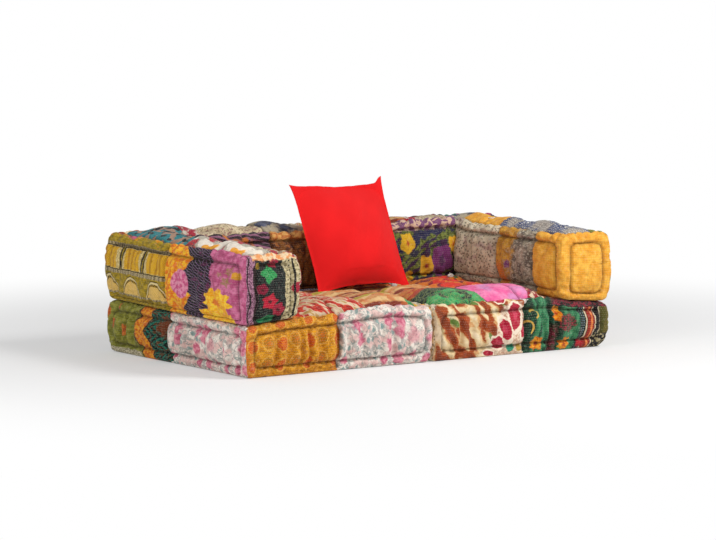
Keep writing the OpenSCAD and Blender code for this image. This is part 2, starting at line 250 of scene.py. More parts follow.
def patch_cloth(paint):
    """A material from a paint function: the print, worn and stitched in rows, with painted shade along the
    stitch lines, over a cotton weave
    """
    material, s, t = start_cloth(paint.__name__)
    jitter = (mottle(s, t, 0.012, 13.0) - 0.5) * 0.003
    bent_s = s + (mottle(s, t, 0.09, 12.0) - 0.5) * 0.016 + jitter
    bent_t = t + (mottle(s, t, 0.09, 14.0) - 0.5) * 0.012 + jitter
    colour = paint(bent_s, bent_t)
    wear = mottle(s, t, 0.012, 7.0, 4.0)
    colour = mix(edge(wear, 0.66, 0.1) * 0.1, colour, WORN)
    colour = mix(below(wear, 0.42, 0.12) * 0.18, colour, GRIME)
    row_place = t + (mottle(s, t, 0.12, 3.0) - 0.5) * 0.02
    row = maths("FLOOR", row_place / STITCH_ROW)
    along = maths("FRACT", s / STITCH + row * 0.37)
    on_row = edge(abs(repeat(row_place, STITCH_ROW)), STITCH_ROW / 2 - THREAD_WIDTH, 0.0003)
    thread_on = on_row * below(along, 0.55, 0.08)
    colour = mix(thread_on * THREAD_SHOWS, colour, THREAD)
    # Painted shade: the cloth darkens near the stitch lines, most of all in the groove itself
    to_stitches = dye("Attribute", {}, "Fac", attribute_name="to_stitches")
    colour = mix(below(to_stitches, 0.005, 0.005) * 0.3, colour, SEAM_SHADE)
    colour = mix(below(to_stitches, 0.0016, 0.0008) * 0.4, colour, SEAM_SHADE)
    rows = maths("COSINE", row_place * (2 * math.pi / STITCH_ROW)) * 0.16
    creases = mottle(s, t, 0.016, 5.0, 3.0) * 3.0
    weave = mottle(s, t, 0.0012, 9.0, 1.0) * 0.12
    finish_cloth(colour, rows + creases + weave + thread_on * 0.2)
    return material


def mustard_paisley(s, t):
    ground = tones(s, t, "#b8740f", "#dc9618", 0.02, 0.15)
    fine = mottle(s, t, 0.0035, 2.0)
    ground = mix(below(fine, 0.42, 0.05) * 0.45, ground, "#7a5a10")
    ground = mix(edge(fine, 0.6, 0.04) * 0.6, ground, "#f0b030")
    column = maths("FLOOR", s / 0.062)
    olive = maths("MODULO", column + 20.0, 2.0)
    x = repeat(s - 0.031, 0.062)
    y = repeat(t - 0.045 - olive * 0.01, 0.075)
    oval = distance(x / 0.018, y / 0.022) + mottle(s, t, 0.007) * 0.7
    print_on = mix(within(oval, 1.45, 1.65, 0.08) * 0.8, ground, "#e4ac48")
    spot = mix(olive, "#c0401c", "#94701a")
    spot = mix(clouds(s, t, 0.004, 0.05, 2.0), spot, "#d8801f")
    print_on = mix(below(oval, 1.35, 0.1), print_on, spot)
    print_on = mix(below(oval, 0.7, 0.06) * 0.5, print_on, "#d8702c")
    frayed = mottle(s, t, 0.02, 6.0) * 0.03
    end = edge(s + frayed, 0.41, 0.01) + below(s - frayed, 0.005, 0.01)
    return mix(end * edge(fine, 0.54, 0.05) * 0.8, print_on, "#c8481c")


def rose_sprig(s, t):
    wander = mottle(s, t, 0.02, 3.0) * 0.03
    swirl = mottle(s + wander, t - wander * 2, 0.014, 8.0, 1.0)
    ground = mix(edge(swirl, 0.48, 0.08), "#b4aea8", "#ece2d6")
    ground = mix(clouds(s, t, 0.04, 0.05, 4.0, 0.52) * 0.75, ground, "#dfb5ae")
    vine = abs(mottle(s - wander, t + wander, 0.03, 5.0, 1.0) - 0.5)
    cloth = mix(below(vine, 0.018, 0.01) * 0.65, ground, "#64807c")
    leaf, pick = blots(s * 1.5 + wander, t, 0.03, 1.0)
    cloth = mix(below(leaf, 0.32, 0.06) * edge(pick, 0.5, 0.02) * 0.85, cloth, "#7a9794")
    rose, kind = blots(s + wander, t * 0.9, 0.066, 2.0, 0.7)
    shade = tones(s, t, "#c04e70", "#dc8698", 0.012, 0.08, 4.0)
    return mix(below(rose + swirl * 0.16, 0.44, 0.06) * edge(kind, 0.3, 0.02) * 0.92, cloth, shade)


def rust_ikat(s, t):
    along = s * 0.52 - t * 0.854
    across = s * 0.854 + t * 0.52
    jag = mottle(along, across, 0.012, 2.0) * 0.012
    strokes = mottle(along * 0.3 + jag, across + jag, 0.036, 1.0, 1.0)
    cloth = mix(edge(strokes, 0.49, 0.02), "#e2c898", "#a2481e")
    cloth = mix(edge(strokes, 0.6, 0.03) * 0.7, cloth, "#74301a")
    cloth = mix(below(strokes, 0.38, 0.03) * 0.6, cloth, "#f0e2c4")
    cloth = mix(within(strokes, 0.455, 0.49, 0.01) * 0.7, cloth, "#c88440")
    cloth = mix(below(s + mottle(s, t, 0.02, 3.0) * 0.02, 0.05, 0.004) * 0.35, cloth, "#7c3a1c")
    for x, y in ((0.097, 0.138), (0.27, 0.078), (0.2, 0.21), (0.33, 0.2)):
        leaf = distance((s - x) * 0.8 + (t - y) * 0.5, (t - y) * 0.6) + mottle(s, t, 0.01, x) * 0.012
        cloth = mix(below(leaf, 0.016, 0.003), cloth, "#5f7a34")
    fan = below(distance(s - 0.4, (t - 0.06) * 0.8) + mottle(s, t, 0.03, 5.0) * 0.05, 0.135, 0.006)
    cloth = mix(fan * 0.85, cloth, tones(s, t, "#c9a088", "#ecd9c0", 0.01, 0.05, 3.0))
    for x, y, long, wide, lean in (
        (0.388, 0.145, 0.052, 0.031, 1.45), (0.342, 0.1, 0.043, 0.023, 2.1),
        (0.312, 0.055, 0.04, 0.021, 2.75), (0.436, 0.1, 0.04, 0.016, 1.1),
        (0.275, 0.012, 0.026, 0.015, 2.9), (0.33, 0.215, 0.03, 0.016, 0.4),
    ):
        ahead = (s - x) * math.cos(lean) + (t - y) * math.sin(lean)
        aside = (t - y) * math.cos(lean) - (s - x) * math.sin(lean)
        petal = distance(ahead / long, aside / wide) + mottle(s, t, 0.014, x) * 0.5
        cloth = mix(below(petal, 1.5, 0.05), cloth, "#f0dfc8")
        cloth = mix(below(petal, 1.2, 0.05), cloth, "#ae1836")
        cloth = mix(below(petal, 0.62, 0.1) * 0.6, cloth, "#d8506a")
    cloth = mix(below(distance(s - 0.378, t - 0.03), 0.018, 0.003), cloth, "#2c8a6c")
    return mix(below(distance(s - 0.422, t - 0.028), 0.017, 0.003), cloth, "#c09a40")


def green_stripe(s, t):
    lane = s + mottle(s, t, 0.02, 1.0) * 0.006 + abs(t - 0.13) * 0.12
    dark = mottle(s, t, 0.012, 8.0)
    cloth = mix(edge(dark, 0.5, 0.08), "#0f2a1e", "#1c4a34")
    green = mix(edge(mottle(s * 3, t, 0.03, 2.0), 0.5, 0.1), "#2b6a48", "#448a5e")
    cloth = mix(within(lane, 0.05, 0.112, 0.004), cloth, green)
    cloth = mix(within(lane, 0.066, 0.074, 0.001), cloth, "#1c4a34")
    cloth = mix(within(lane, 0.185, 0.262, 0.006), cloth, green)
    maroon = tones(s, t, "#2a3424", "#8e2038", 0.008, 0.04, 5.0)
    scribble = below(distance((s - 0.2) * 0.8, t - 0.11) + mottle(s, t, 0.02, 6.0) * 0.03, 0.05, 0.006)
    cloth = mix(scribble * 0.9, cloth, maroon)
    brown = mix(edge(dark, 0.5, 0.06), "#3a2c1c", "#6e2030")
    cloth = mix(within(s, 0.11, 0.155, 0.006) * below(t, 0.1, 0.01), cloth, brown)
    for x, y, turn in ((0.036, 0.145, 0.016), (0.014, 0.098, 0.022)):
        curl = abs(distance(s - x, t - y) - turn)
        cloth = mix(below(curl, 0.0032, 0.0012) * edge(t + s, y + x - 0.006, 0.004), cloth, "#d0a648")
    dots = distance(repeat(lane - 0.272, 0.012), repeat(t, 0.01))
    dotted = mix(below(dots, 0.003, 0.001), "#12201c", "#6a7a80")
    cloth = mix(within(lane, 0.262, 0.29, 0.002), cloth, dotted)
    for low, high, colour in (
        (0.292, 0.297, "#d8c0a0"), (0.299, 0.335, "#8e2418"), (0.316, 0.326, "#d87a3c"),
        (0.337, 0.342, "#d8c0a0"), (0.343, 0.362, "#0d0d10"), (0.362, 0.366, "#c8b898"),
        (0.366, 0.386, "#4c4a18"), (0.386, 0.43, "#5e5420"),
    ):
        cloth = mix(within(lane, low, high, 0.0015), cloth, colour)
    corner = edge(s + mottle(s, t, 0.02, 9.0) * 0.03, 0.345, 0.004) * below(t, 0.062, 0.004)
    cloth = mix(corner, cloth, tones(s, t, "#101012", "#a89a70", 0.012, 0.03, 4.0, 0.56))
    top_roll = edge(t, 0.176, 0.002)
    cloth = mix(top_roll * edge(s, 0.125, 0.01), cloth, mix(edge(dark, 0.5, 0.05), "#1c1418", "#7a2030"))
    for x, y, size in ((0.055, 0.035, 0.037), (0.146, 0.142, 0.037), (0.19, 0.026, 0.036)):
        flower = petals(s - x, (t - y) * 0.85, 7.0, 0.16) + mottle(s, t, 0.01, 3.0) * 0.018
        shade = tones(s, t, "#d8700f", "#eca224", 0.01, 0.06, x)
        cloth = mix(below(flower, size, 0.003), cloth, shade)
        cloth = mix(below(flower, size * 0.45, 0.005), cloth, "#a0341a")
    berry = distance(s - 0.272, t - 0.022) + mottle(s, t, 0.012) * 0.012
    return mix(below(berry, 0.024, 0.003), cloth, "#a81c28")


def olive_sprig(s, t):
    curve = s + abs(t - 0.11) * -0.55 + mottle(s, t, 0.03) * 0.02
    cloth = tones(s, t, "#6f7024", "#95933c", 0.02, 0.12, 2.0)
    rust = tones(s, t, "#a83c1a", "#cf6a26", 0.006, 0.06, 5.0, 0.48)
    for x, y in ((0.052, 0.118), (0.132, 0.1), (0.085, 0.192), (0.02, 0.16)):
        sprig = distance((s - x) / 0.017, (t - y) / 0.026) + mottle(s, t, 0.01, x) * 0.9
        cloth = mix(below(sprig, 1.25, 0.12) * 0.9, cloth, rust)
    tooth = abs(repeat(t + 0.02, 0.06)) * 1.1
    ziggy = sine((s + tooth) * 300.0)
    dark = mix(edge(ziggy, 0.0, 0.3), "#0c1e1c", "#1c6a58")
    dark = mix(clouds(s, t, 0.012, 0.04, 6.0, 0.56) * 0.8, dark, "#6e4020")
    leaf = distance(s - 0.41, (t - 0.14) * 0.8) + mottle(s, t, 0.014) * 0.06
    dark = mix(below(leaf, 0.058, 0.012) * 0.85, dark, "#7c3a1c")
    cloth = mix(edge(curve, 0.3, 0.003), cloth, dark)
    band = tones(s, t, "#c46012", "#e59a22", 0.014, 0.08, 7.0)
    cloth = mix(within(curve, 0.215, 0.3, 0.003), cloth, band)
    cloth = mix(within(curve, 0.206, 0.215, 0.002) + within(curve, 0.298, 0.304, 0.002), cloth, "#3a2414")
    hem = below(t + mottle(s, t, 0.02, 9.0) * 0.01, 0.03, 0.003) * below(curve, 0.2, 0.004)
    return mix(hem, cloth, tones(s, t, "#8c8468", "#cdc3a4", 0.008, 0.06, 2.0))


def golden_blocks(s, t):
    weave = edge(sine(s * 900.0) * sine(t * 700.0), 0.0, 0.4)
    olive = tones(s, t, "#86721a", "#b0921e", 0.015)
    x = repeat(s - 0.05, 0.168)
    y = t - 0.177
    side_reach = abs(x)
    block = maths("MAXIMUM", side_reach / 0.073, abs(y) / 0.04)
    cloth = mix(below(block, 1.12, 0.03), olive, "#1a140e")
    cloth = mix(below(block, 1.02, 0.03), cloth, tones(s, t, "#b89a54", "#e0cc92", 0.006, 0.05))
    grain = mix(weave, "#c08a10", "#e8b82e")
    grain = mix(edge(maths("COSINE", repeat(x, 0.03) * 210.0), 0.5, 0.2) * 0.5, grain, "#8a4c0c")
    cloth = mix(below(side_reach, 0.054, 0.003) * below(block, 0.98, 0.03), cloth, grain)
    chain = sine(s * 420.0 + sine(t * 900.0))
    link = mix(edge(chain, 0.0, 0.3), "#6f6348", "#b9a67c")
    cloth = mix(within(t, 0.118, 0.132, 0.001) + within(t, 0.222, 0.234, 0.001), cloth, link)
    arch_x = abs(repeat(s - 0.045, 0.168)) / 0.07
    arch = t + (arch_x ** 2.6) * 0.08
    arch_zone = within(t, 0.042, 0.118, 0.001)
    cloth = mix(below(arch, 0.113, 0.001) * arch_zone, cloth, "#54400f")
    cloth = mix(below(arch, 0.109, 0.001) * arch_zone, cloth, "#dcc890")
    cloth = mix(below(arch, 0.101, 0.001) * arch_zone, cloth, "#9c7a1c")
    cloth = mix(below(arch, 0.092, 0.002) * arch_zone, cloth, mix(weave, "#cc9c3c", "#e8c878"))
    beads = sine(s * 520.0) * sine(t * 520.0)
    cloth = mix(within(arch, 0.092, 0.101, 0.001) * edge(beads, 0.1, 0.2) * arch_zone, cloth, "#2c2010")
    cloth = mix(within(t, 0.034, 0.042, 0.001), cloth, link)
    pink = below(distance((s - 0.17) / 1.6, t - 0.29), 0.03, 0.008)
    cloth = mix(pink, cloth, "#c25a78")
    return mix(clouds(s, t, 0.03, 0.03, 8.0, 0.6) * edge(t, 0.25, 0.01), cloth, "#d08a1e")


def pink_star(s, t):
    pink = tones(s, t, "#b04a74", "#cf7298", 0.03)
    pink = mix(clouds(s, t, 0.018, 0.05, 9.0, 0.58) * 0.5, pink, "#95425f")
    for x, y, size in ((0.45, 0.16, 0.03), (0.46, 0.2, 0.026), (0.4, 0.185, 0.018)):
        sprig = petals((s - x) * 0.6, t - y, 5.0, 0.3, 0.5) + mottle(s, t, 0.01, x) * 0.016
        faded = tones(s, t, "#8a7a34", "#b0786a", 0.012, 0.05, y)
        pink = mix(below(sprig, size, 0.005) * 0.8, pink, faded)
    gold = distance((s - 0.51) * 0.6, t - 0.185) + mottle(s, t, 0.01, 4.0) * 0.012
    pink = mix(below(gold, 0.02, 0.003), pink, "#d99a2c")
    tooth = abs(repeat(t + 0.045, 0.13))
    border = s - 0.16 + tooth * 1.1
    hatch = sine((s * 0.45 + t + mottle(s, t, 0.06) * 0.008) * 560.0)
    dark = mix(edge(hatch, 0.78, 0.15), "#121014", "#7a5f82")
    dark = mix(clouds(s, t, 0.02, 0.05, 8.0, 0.56) * edge(border, 0.11, 0.03), dark, "#5a2848")
    cloth = mix(edge(s + t * 0.2 + mottle(s, t, 0.015) * 0.03, 0.385, 0.004), dark, pink)
    yellow = tones(s, t, "#dc7414", "#f0b428", 0.02, 0.06, 5.0)
    cloth = mix(below(border, 0.036, 0.002), cloth, yellow)
    bud = distance((s - 0.13) / 0.07, (t - 0.125) / 0.056) + abs(s - 0.13) * 2.0
    petal = tones(s, t, "#c4507e", "#e08ea8", 0.015, 0.08, 6.0)
    cloth = mix(below(bud, 1.0, 0.04), cloth, petal)
    star = petals(s - 0.385, (t - 0.078) * 1.9, 9.0, 0.16, 1.0) + mottle(s, t, 0.012, 2.0) * 0.03
    golden = tones(s, t, "#e8a018", "#f4c832", 0.016, 0.1, 1.0)
    hem = within(s + mottle(s, t, 0.02, 4.0) * 0.03, 0.27, 0.49, 0.003)
    hem = hem * below(t + mottle(s, t, 0.02, 7.0) * 0.01, 0.045, 0.002)
    cloth = mix(hem, cloth, golden)
    cloth = mix(below(star, 0.118, 0.003), cloth, golden)
    return mix(below(star, 0.045, 0.012), cloth, "#d9701a")


def night_flowers(s, t):
    cloth = tones(s, t, "#0d0e11", "#22302c", 0.008, 0.05, 0.0, 0.54)
    for x, y, size, colour in (
        (0.118, 0.236, 0.032, "#961432"), (0.06, 0.135, 0.032, "#7e1230"), (0.092, 0.086, 0.04, "#b41632"),
        (0.128, 0.05, 0.036, "#961432"), (0.05, 0.222, 0.02, "#a8841e"),
    ):
        flower = petals(s - x, t - y, 5.0, 0.12) + mottle(s, t, 0.008, x) * 0.018
        cloth = mix(below(flower, size, 0.003), cloth, colour)
        cloth = mix(below(flower, size * 0.45, 0.003), cloth, "#4a0c1c")
    star = petals(s - 0.09, t - 0.19, 4.0, 0.25, 0.6) + mottle(s, t, 0.006, 3.0) * 0.018
    green = tones(s, t, "#1f7a3e", "#3a9c58", 0.008, 0.1, 1.0)
    cloth = mix(below(star, 0.043, 0.002), cloth, green)
    leaf = distance((s - 0.084) / 0.038, (t - 0.014) / 0.018)
    cloth = mix(below(leaf, 1.0, 0.1), cloth, "#1f7a4c")
    dots = distance(repeat(s - 0.004, 0.015), repeat(t, 0.018)) + mottle(s, t, 0.004) * 0.002
    cream = tones(s, t, "#a3946a", "#d3c49c", 0.01)
    strip = mix(below(dots, 0.0038, 0.0008), cream, "#14100c")
    berry = distance(s - 0.212, t - 0.125) + mottle(s, t, 0.01, 2.0) * 0.01
    strip = mix(below(berry, 0.03, 0.003), strip, "#a01432")
    cloth = mix(edge(s + mottle(s, t, 0.012, 4.0) * 0.01, 0.163, 0.002), cloth, strip)
    cloth = mix(within(s, 0.194, 0.201, 0.001), cloth, "#14100c")
    lace = mottle(s, t, 0.006, 4.0)
    mauve = mix(edge(lace, 0.5, 0.05), "#643650", "#a8788e")
    wave = s + sine(t * 46.0) * 0.005
    cloth = mix(below(wave, 0.043, 0.002), cloth, mauve)
    cloth = mix(within(wave, 0.008, 0.014, 0.001) + within(wave, 0.036, 0.043, 0.001), cloth, "#1a1014")
    peach = tones(s, t, "#e8985c", "#ecd0a8", 0.018, 0.06, 6.0)
    return mix(edge(t + mottle(s, t, 0.02, 2.0) * 0.03, 0.258, 0.003) * edge(s, 0.03, 0.003), cloth, peach)


def saffron_gauze(s, t):
    cloth = tones(s, t, "#e39c2c", "#f4b746", 0.03, 0.12)
    lines = maths("MAXIMUM", maths("COSINE", s * 700.0), maths("COSINE", t * 700.0))
    return mix(edge(lines, 0.8, 0.2) * 0.35, cloth, "#c07a1c")


def grey_speckle(s, t):
    cloth = tones(s, t, "#bfb095", "#dccfb2", 0.05, 0.12)
    cloth = mix(clouds(s, t, 0.06, 0.05, 5.0, 0.62) * 0.4, cloth, "#8a5670")
    grain = blots(s, t, 0.011, 2.0)
    cloth = mix(below(grain[0], 0.36, 0.12) * 0.75, cloth, "#463c34")
    return mix(edge(grain[1], 0.88, 0.02) * 0.45, cloth, "#d8cdb8")


def gold_speckle(s, t):
    cloth = tones(s, t, "#b07a24", "#d09a34", 0.03)
    greyer = s - t * 0.25 + mottle(s, t, 0.05, 1.0) * 0.12
    grey = tones(s, t, "#6a6054", "#a0947f", 0.03, 0.1, 4.0)
    cloth = mix(edge(greyer, 0.14, 0.02), cloth, grey)
    peach = distance(s - 0.04, (t - 0.06) * 0.7) + mottle(s, t, 0.03, 3.0) * 0.04
    cloth = mix(below(peach, 0.055, 0.01), cloth, "#cf7a34")
    plum = distance(s - 0.1, (t - 0.11) * 0.7) + mottle(s, t, 0.02, 5.0) * 0.03
    cloth = mix(below(plum, 0.03, 0.006), cloth, "#7c3f78")
    grain = blots(s, t, 0.0055, 2.0)
    cloth = mix(edge(grain[1], 0.74, 0.02) * edge(greyer, 0.12, 0.04) * 0.6, cloth, "#cfc4ae")
    return mix(below(grain[0], 0.3, 0.08) * 0.45, cloth, "#463a34")


def plum_floral(s, t):
    cloth = tones(s, t, "#26263a", "#3c2040", 0.035, 0.03, 2.0)
    leaf = edge(mottle(s - t, (s + t) * 0.4, 0.035, 5.0, 1.0), 0.5, 0.03)
    cloth = mix(leaf, cloth, tones(s, t, "#434c1e", "#76803a", 0.012, 0.08))
    cloth = mix(within(t - s * 0.35 + mottle(s, t, 0.03, 1.0) * 0.06, 0.15, 0.19, 0.006), cloth, "#232544")
    for x, y, size, rim, heart in (
        (0.24, 0.088, 0.072, "#74306a", "#4c2048"), (0.076, 0.17, 0.05, "#d8aa20", "#b0481c"),
        (0.17, 0.068, 0.05, "#d09c20", "#8a2c18"), (0.298, 0.155, 0.04, "#d8a420", "#c06a20"),
        (0.09, 0.02, 0.036, "#d4a41c", "#5a2a20"), (0.02, 0.08, 0.045, "#74306a", "#3c1838"),
    ):
        bloom = petals((s - x) * 1.15, (t - y) * 0.85, 5.0, 0.1, 1.2) + mottle(s, t, 0.012, x) * 0.02
        cloth = mix(below(bloom, size, 0.003), cloth, rim)
        cloth = mix(below(bloom, size * 0.42, 0.006), cloth, heart)
    roll = tones(s, t, "#7a4a72", "#d8b49a", 0.025, 0.03, 7.0)
    return mix(edge(t + mottle(s, t, 0.02, 8.0) * 0.02, 0.232, 0.003), cloth, roll)


def coral_strokes(s, t):
    along = s * 0.766 - t * 0.643
    across = s * 0.643 + t * 0.766
    strokes = mottle(along * 0.3, across, 0.015, 1.0, 1.0)
    cloth = mix(edge(strokes, 0.5, 0.02), "#dcc4a4", "#d0402e")
    cloth = mix(below(strokes, 0.37, 0.03), cloth, "#c09858")
    cloth = mix(edge(strokes, 0.6, 0.03), cloth, "#a82a24")
    leaf, pick = blots(along * 0.6, across, 0.12, 4.0)
    return mix(below(leaf, 0.16, 0.03) * edge(pick, 0.5, 0.02) * 0.8, cloth, "#6a3a24")


def tan_stripes(s, t):
    lane = t + mottle(s, t, 0.06) * 0.03
    cloth = mix(edge(sine(lane * 150.0), 0.1, 0.3), "#cc8e58", "#dcb47c")
    cloth = mix(edge(sine(lane * 61.0), 0.8, 0.1), cloth, "#7c3020")
    cloth = mix(edge(sine(lane * 61.0 + 1.4), 0.86, 0.08), cloth, "#b09a34")
    return mix(clouds(s, t, 0.05, 0.05, 3.0, 0.58) * 0.7, cloth, "#c9642c")


SCALE = 0.024


def green_scale(s, t):
    column = maths("FLOOR", s / SCALE)
    dropped = t + maths("MODULO", abs(column), 2.0) * (SCALE / 2)
    row = maths("FLOOR", dropped / SCALE)
    scale = distance(s - (column + 0.5) * SCALE, dropped - (row + 0.5) * SCALE)
    depth = t + mottle(s, t, 0.04, 2.0) * 0.05
    cloth = tones(s, t, "#2a8248", "#45ae66", 0.06, 0.08)
    cloth = mix(clouds(s, t, 0.05, 0.03, 6.0, 0.56) + edge(depth, 0.13, 0.01), cloth, "#2c3c34")
    cloth = mix(within(scale, 0.009, 0.0115, 0.0012) * 0.6, cloth, "#8a9a5c")
    tan = mix(edge(mottle(s * 0.4, t, 0.03, 3.0), 0.5, 0.05), "#c4783c", "#b8442a")
    return mix(edge(depth, 0.2, 0.008), cloth, tan)


def bright_pink(s, t):
    pink = tones(s, t, "#e8609c", "#f48ab8", 0.06, 0.12)
    pink = mix(clouds(s, t, 0.09, 0.08, 9.0, 0.55) * 0.8, pink, "#d893c6")
    rim = distance((s - 0.105) / 0.128, (t - 0.12) / 0.2) + mottle(s, t, 0.03, 2.0) * 0.15
    outside = tones(s, t, "#9a1c2e", "#dcc8ac", 0.02, 0.03, 4.0, 0.52)
    outside = mix(clouds(s, t, 0.03, 0.03, 8.0, 0.56), outside, "#5e1430")
    return mix(edge(rim, 1.02, 0.02), pink, outside)


def poppy_red(s, t):
    bloom = blots(s, t, 0.14, 3.0, 0.8)[0]
    edge_noise = mottle(s, t, 0.02) * 0.3
    cloth = tones(s, t, "#d8741e", "#7c1e2c", 0.05, 0.04, 5.0, 0.52)
    cloth = mix(below(bloom + edge_noise, 0.58, 0.03), cloth, "#d8301e")
    cloth = mix(below(bloom + edge_noise, 0.36, 0.03), cloth, "#e8862a")
    return mix(below(bloom, 0.1, 0.02), cloth, "#2e6a3e")


def navy_dotted(s, t):
    dots = distance(repeat(s, 0.011), repeat(t, 0.011))
    cloth = tones(s, t, "#34406a", "#5a6484", 0.06, 0.08)
    cloth = mix(clouds(s, t, 0.09, 0.04, 3.0, 0.56) * 0.85, cloth, "#a0968a")
    return mix(below(dots, 0.003, 0.001) * 0.8, cloth, "#cdc6b8")


def teal_batik(s, t):
    cloth = mix(edge(mottle(s, t, 0.05, 1.0, 1.0), 0.5, 0.02), "#a3806c", "#2c7a80")
    return mix(edge(mottle(s, t, 0.04, 4.0, 1.0), 0.56, 0.02), cloth, "#1c1c20")


def white_lily(s, t):
    reach = petals(repeat(s, 0.24), repeat(t - 0.1, 0.24), 6.0, 0.3)
    cloth = tones(s, t, "#b8b0a0", "#b4343c", 0.08, 0.03)
    cloth = mix(below(reach + mottle(s, t, 0.03) * 0.03, 0.13, 0.004), cloth, "#ece2d2")
    cloth = mix(below(reach, 0.06, 0.006), cloth, "#f0a42c")
    chain = distance(repeat(s, 0.012), repeat(t, 0.012))
    return mix(below(chain, 0.003, 0.001) * edge(reach, 0.15, 0.01), cloth, "#3c4a50")


def purple_stripe(s, t):
    lane = s * 0.3 + t + mottle(s, t, 0.08) * 0.02
    cloth = mix(edge(sine(lane * 230.0), 0.3, 0.2), "#2a1c26", "#8c5c74")
    return mix(clouds(s, t, 0.1, 0.03, 5.0, 0.6), cloth, "#c4702c")


def beige_speckle(s, t):
    cloth = tones(s, t, "#bca684", "#dccaa6", 0.07)
    grain = blots(s, t, 0.008, 5.0)
    cloth = mix(below(grain[0], 0.35, 0.1) * 0.7, cloth, "#5c4a3a")
    cloth = mix(edge(grain[1], 0.8, 0.02) * 0.6, cloth, "#7c3c4c")
    red = tones(s, t, "#a01c34", "#c9bfae", 0.02, 0.04, 7.0, 0.55)
    return mix(below(s + mottle(s, t, 0.03, 3.0) * 0.04, 0.08, 0.003), cloth, red)


def grey_ink(s, t):
    cloth = tones(s, t, "#4a5068", "#a89c84", 0.06, 0.05, 2.0, 0.52)
    wash = mottle(s, t, 0.03, 6.0)
    return mix(edge(wash, 0.6, 0.04) * 0.7, cloth, "#23222a")


# A dark umber cloth with a tan roll on top. Its dark browns are partly the cloth's own colour and partly
# painted shade of the back beside the pillow.
def umber_weave(s, t):
    cloth = tones(s, t, "#4a2412", "#7a4a1c", 0.03, 0.08, 2.0)
    cloth = mix(clouds(s, t, 0.012, 0.04, 5.0, 0.58) * 0.6, cloth, "#a8642a")
    roll = tones(s, t, "#b86c30", "#d8a058", 0.02, 0.05, 7.0)
    return mix(edge(t, 0.225, 0.004), cloth, roll)


def plain_ticking(s, t):
    stripe = sine(s * 400.0)
    return mix(edge(stripe, 0.6, 0.1) * 0.5, "#cdbf9f", "#8c8478")


PRINTS = [
    mustard_paisley, rose_sprig, rust_ikat, green_stripe, olive_sprig, golden_blocks, pink_star,
    night_flowers, saffron_gauze, grey_speckle, gold_speckle, plum_floral, coral_strokes,
    tan_stripes, green_scale, bright_pink, poppy_red, navy_dotted, teal_batik, white_lily,
    purple_stripe, beige_speckle, grey_ink, umber_weave, plain_ticking,
]
prints = {paint.__name__: patch_cloth(paint) for paint in PRINTS}

# Seat mattresses
# Two box mattresses of packed cotton lie side by side. The cover's panels meet in a thick roll
# that is stitched along every edge, and twine through the filling draws the top down in a grid.
SOFT_GAP = 0.0003
SEAT_W = 0.85
SEAT_D = 1.0
SEAT_H = 0.216
SEAT_BOX_H = 0.2
LOADED_H = 0.196
FOOT_RISE = 0.019
SEAT_CROWN = 0.034
SEAT_BOW = 0.008
HOLLOW_DEPTH = 0.016
HOLLOW_REACH = 0.2
CORNER_SWELL = 0.022
ARM_W = 0.225
BACK_W = 0.26
ROLL = 0.038
ROLL_R = 0.02
ROLL_PROUD = 0.004
SEAM_DEPTH = 0.009
SEAM_HALF = 0.006
PATCH_SEAM_DEPTH = 0.008
PATCH_SEAM_DRAW = 0.006
PATCH_SEAM_REACH = 0.03
TOP_SEAM_DEPTH = 0.003
LINE_HALF = 0.0045
LINE_DEPTH = 0.0055
UPRIGHT_LINE_DEPTH = 0.003
SWELL = 0.085
SIDE_SWELL = 0.045
FOOT_DRAW = 0.014
SIDE_PUFF = 0.006
SIDE_DRAW = 0.005
VALLEY = 0.012
TUFT_DIP = 0.018
CELL = 0.0105
GATHER = 0.056
GATHER_DEPTH = 0.008
FOLD_DEPTH = 0.021
EDGE_BLEND = 0.006
CORNER_BLEND = 0.012
PUCKER = 0.021
PUCKER_DEPTH = 0.0026
PUCKER_REACH = 0.024
RAYS = 7
RAY_DEPTH = 0.0035
RAY_PLACE = 0.028
RAY_HALF = 0.02
CREASE_DEPTH = 0.0035
CREASE_HALF = 0.07
LOOSE_WAVE = 0.004
FAR = 9.0
ALL = (-FAR, FAR)
TINY = 1e-6
ARM_U = SEAT_W - ARM_W
BACK_V = SEAT_D - BACK_W
FOOT_U = ARM_U - 0.014
FOOT_V = BACK_V - 0.014
THIRD = SEAT_W / 3
TWO_THIRDS = SEAT_W * 2 / 3


def ease(x):
    x = np.clip(x, 0, 1)
    return x * x * (3 - 2 * x)


def notch(x, half):
    """1 at 0, falling to 0 about two half widths away"""
    return np.exp(-((x / half) ** 2))


def rise(x):
    """Climbs from 0 to 1 like a quarter of a circle's height as x does"""
    return np.sin(math.pi / 2 * np.clip(x, 0, 1))


def fall(x):
    return np.cos(math.pi / 2 * np.clip(x, 0, 1))


def ripple(x, y, z, seed):
    """Smooth random numbers of about -0.5 to 0.5"""
    return np.array([noise.noise(Vector((a, b, c + seed))) for a, b, c in zip(x, y, z)])


def lobes(x):
    """Round lobes with a sharp crease between, one for each whole number, from -0.64 to 0.36"""
    return np.abs(np.sin(math.pi * x)) - 0.64


def read_rows(rows, name, width=3, kind=float):
    """One property of a mesh's points, faces or corners, with a row for each"""
    values = np.empty(len(rows) * width, kind)
    rows.foreach_get(name, values)
    return values.reshape(-1, width)


def write_points(mesh, points):
    mesh.vertices.foreach_set("co", points.ravel())
    mesh.update()


def wall_distances(flat, limbed):
    """Distances in plan from the walls towards +u, -u, +v and -v, and from the hollow corner"""
    u = flat[:, 0]
    v = flat[:, 1]
    before_back = v < BACK_V - TINY
    before_arm = u < ARM_U - TINY
    left_wall = np.where(before_back & limbed, ARM_U, 0)
    front_wall = np.where(before_arm & limbed, BACK_V, 0)
    hollow = np.hypot(u - ARM_U, v - BACK_V)
    hollow = np.where(limbed & ~before_back & ~before_arm, hollow, FAR)
    return SEAT_W - u, u - left_wall, SEAT_D - v, v - front_wall, hollow


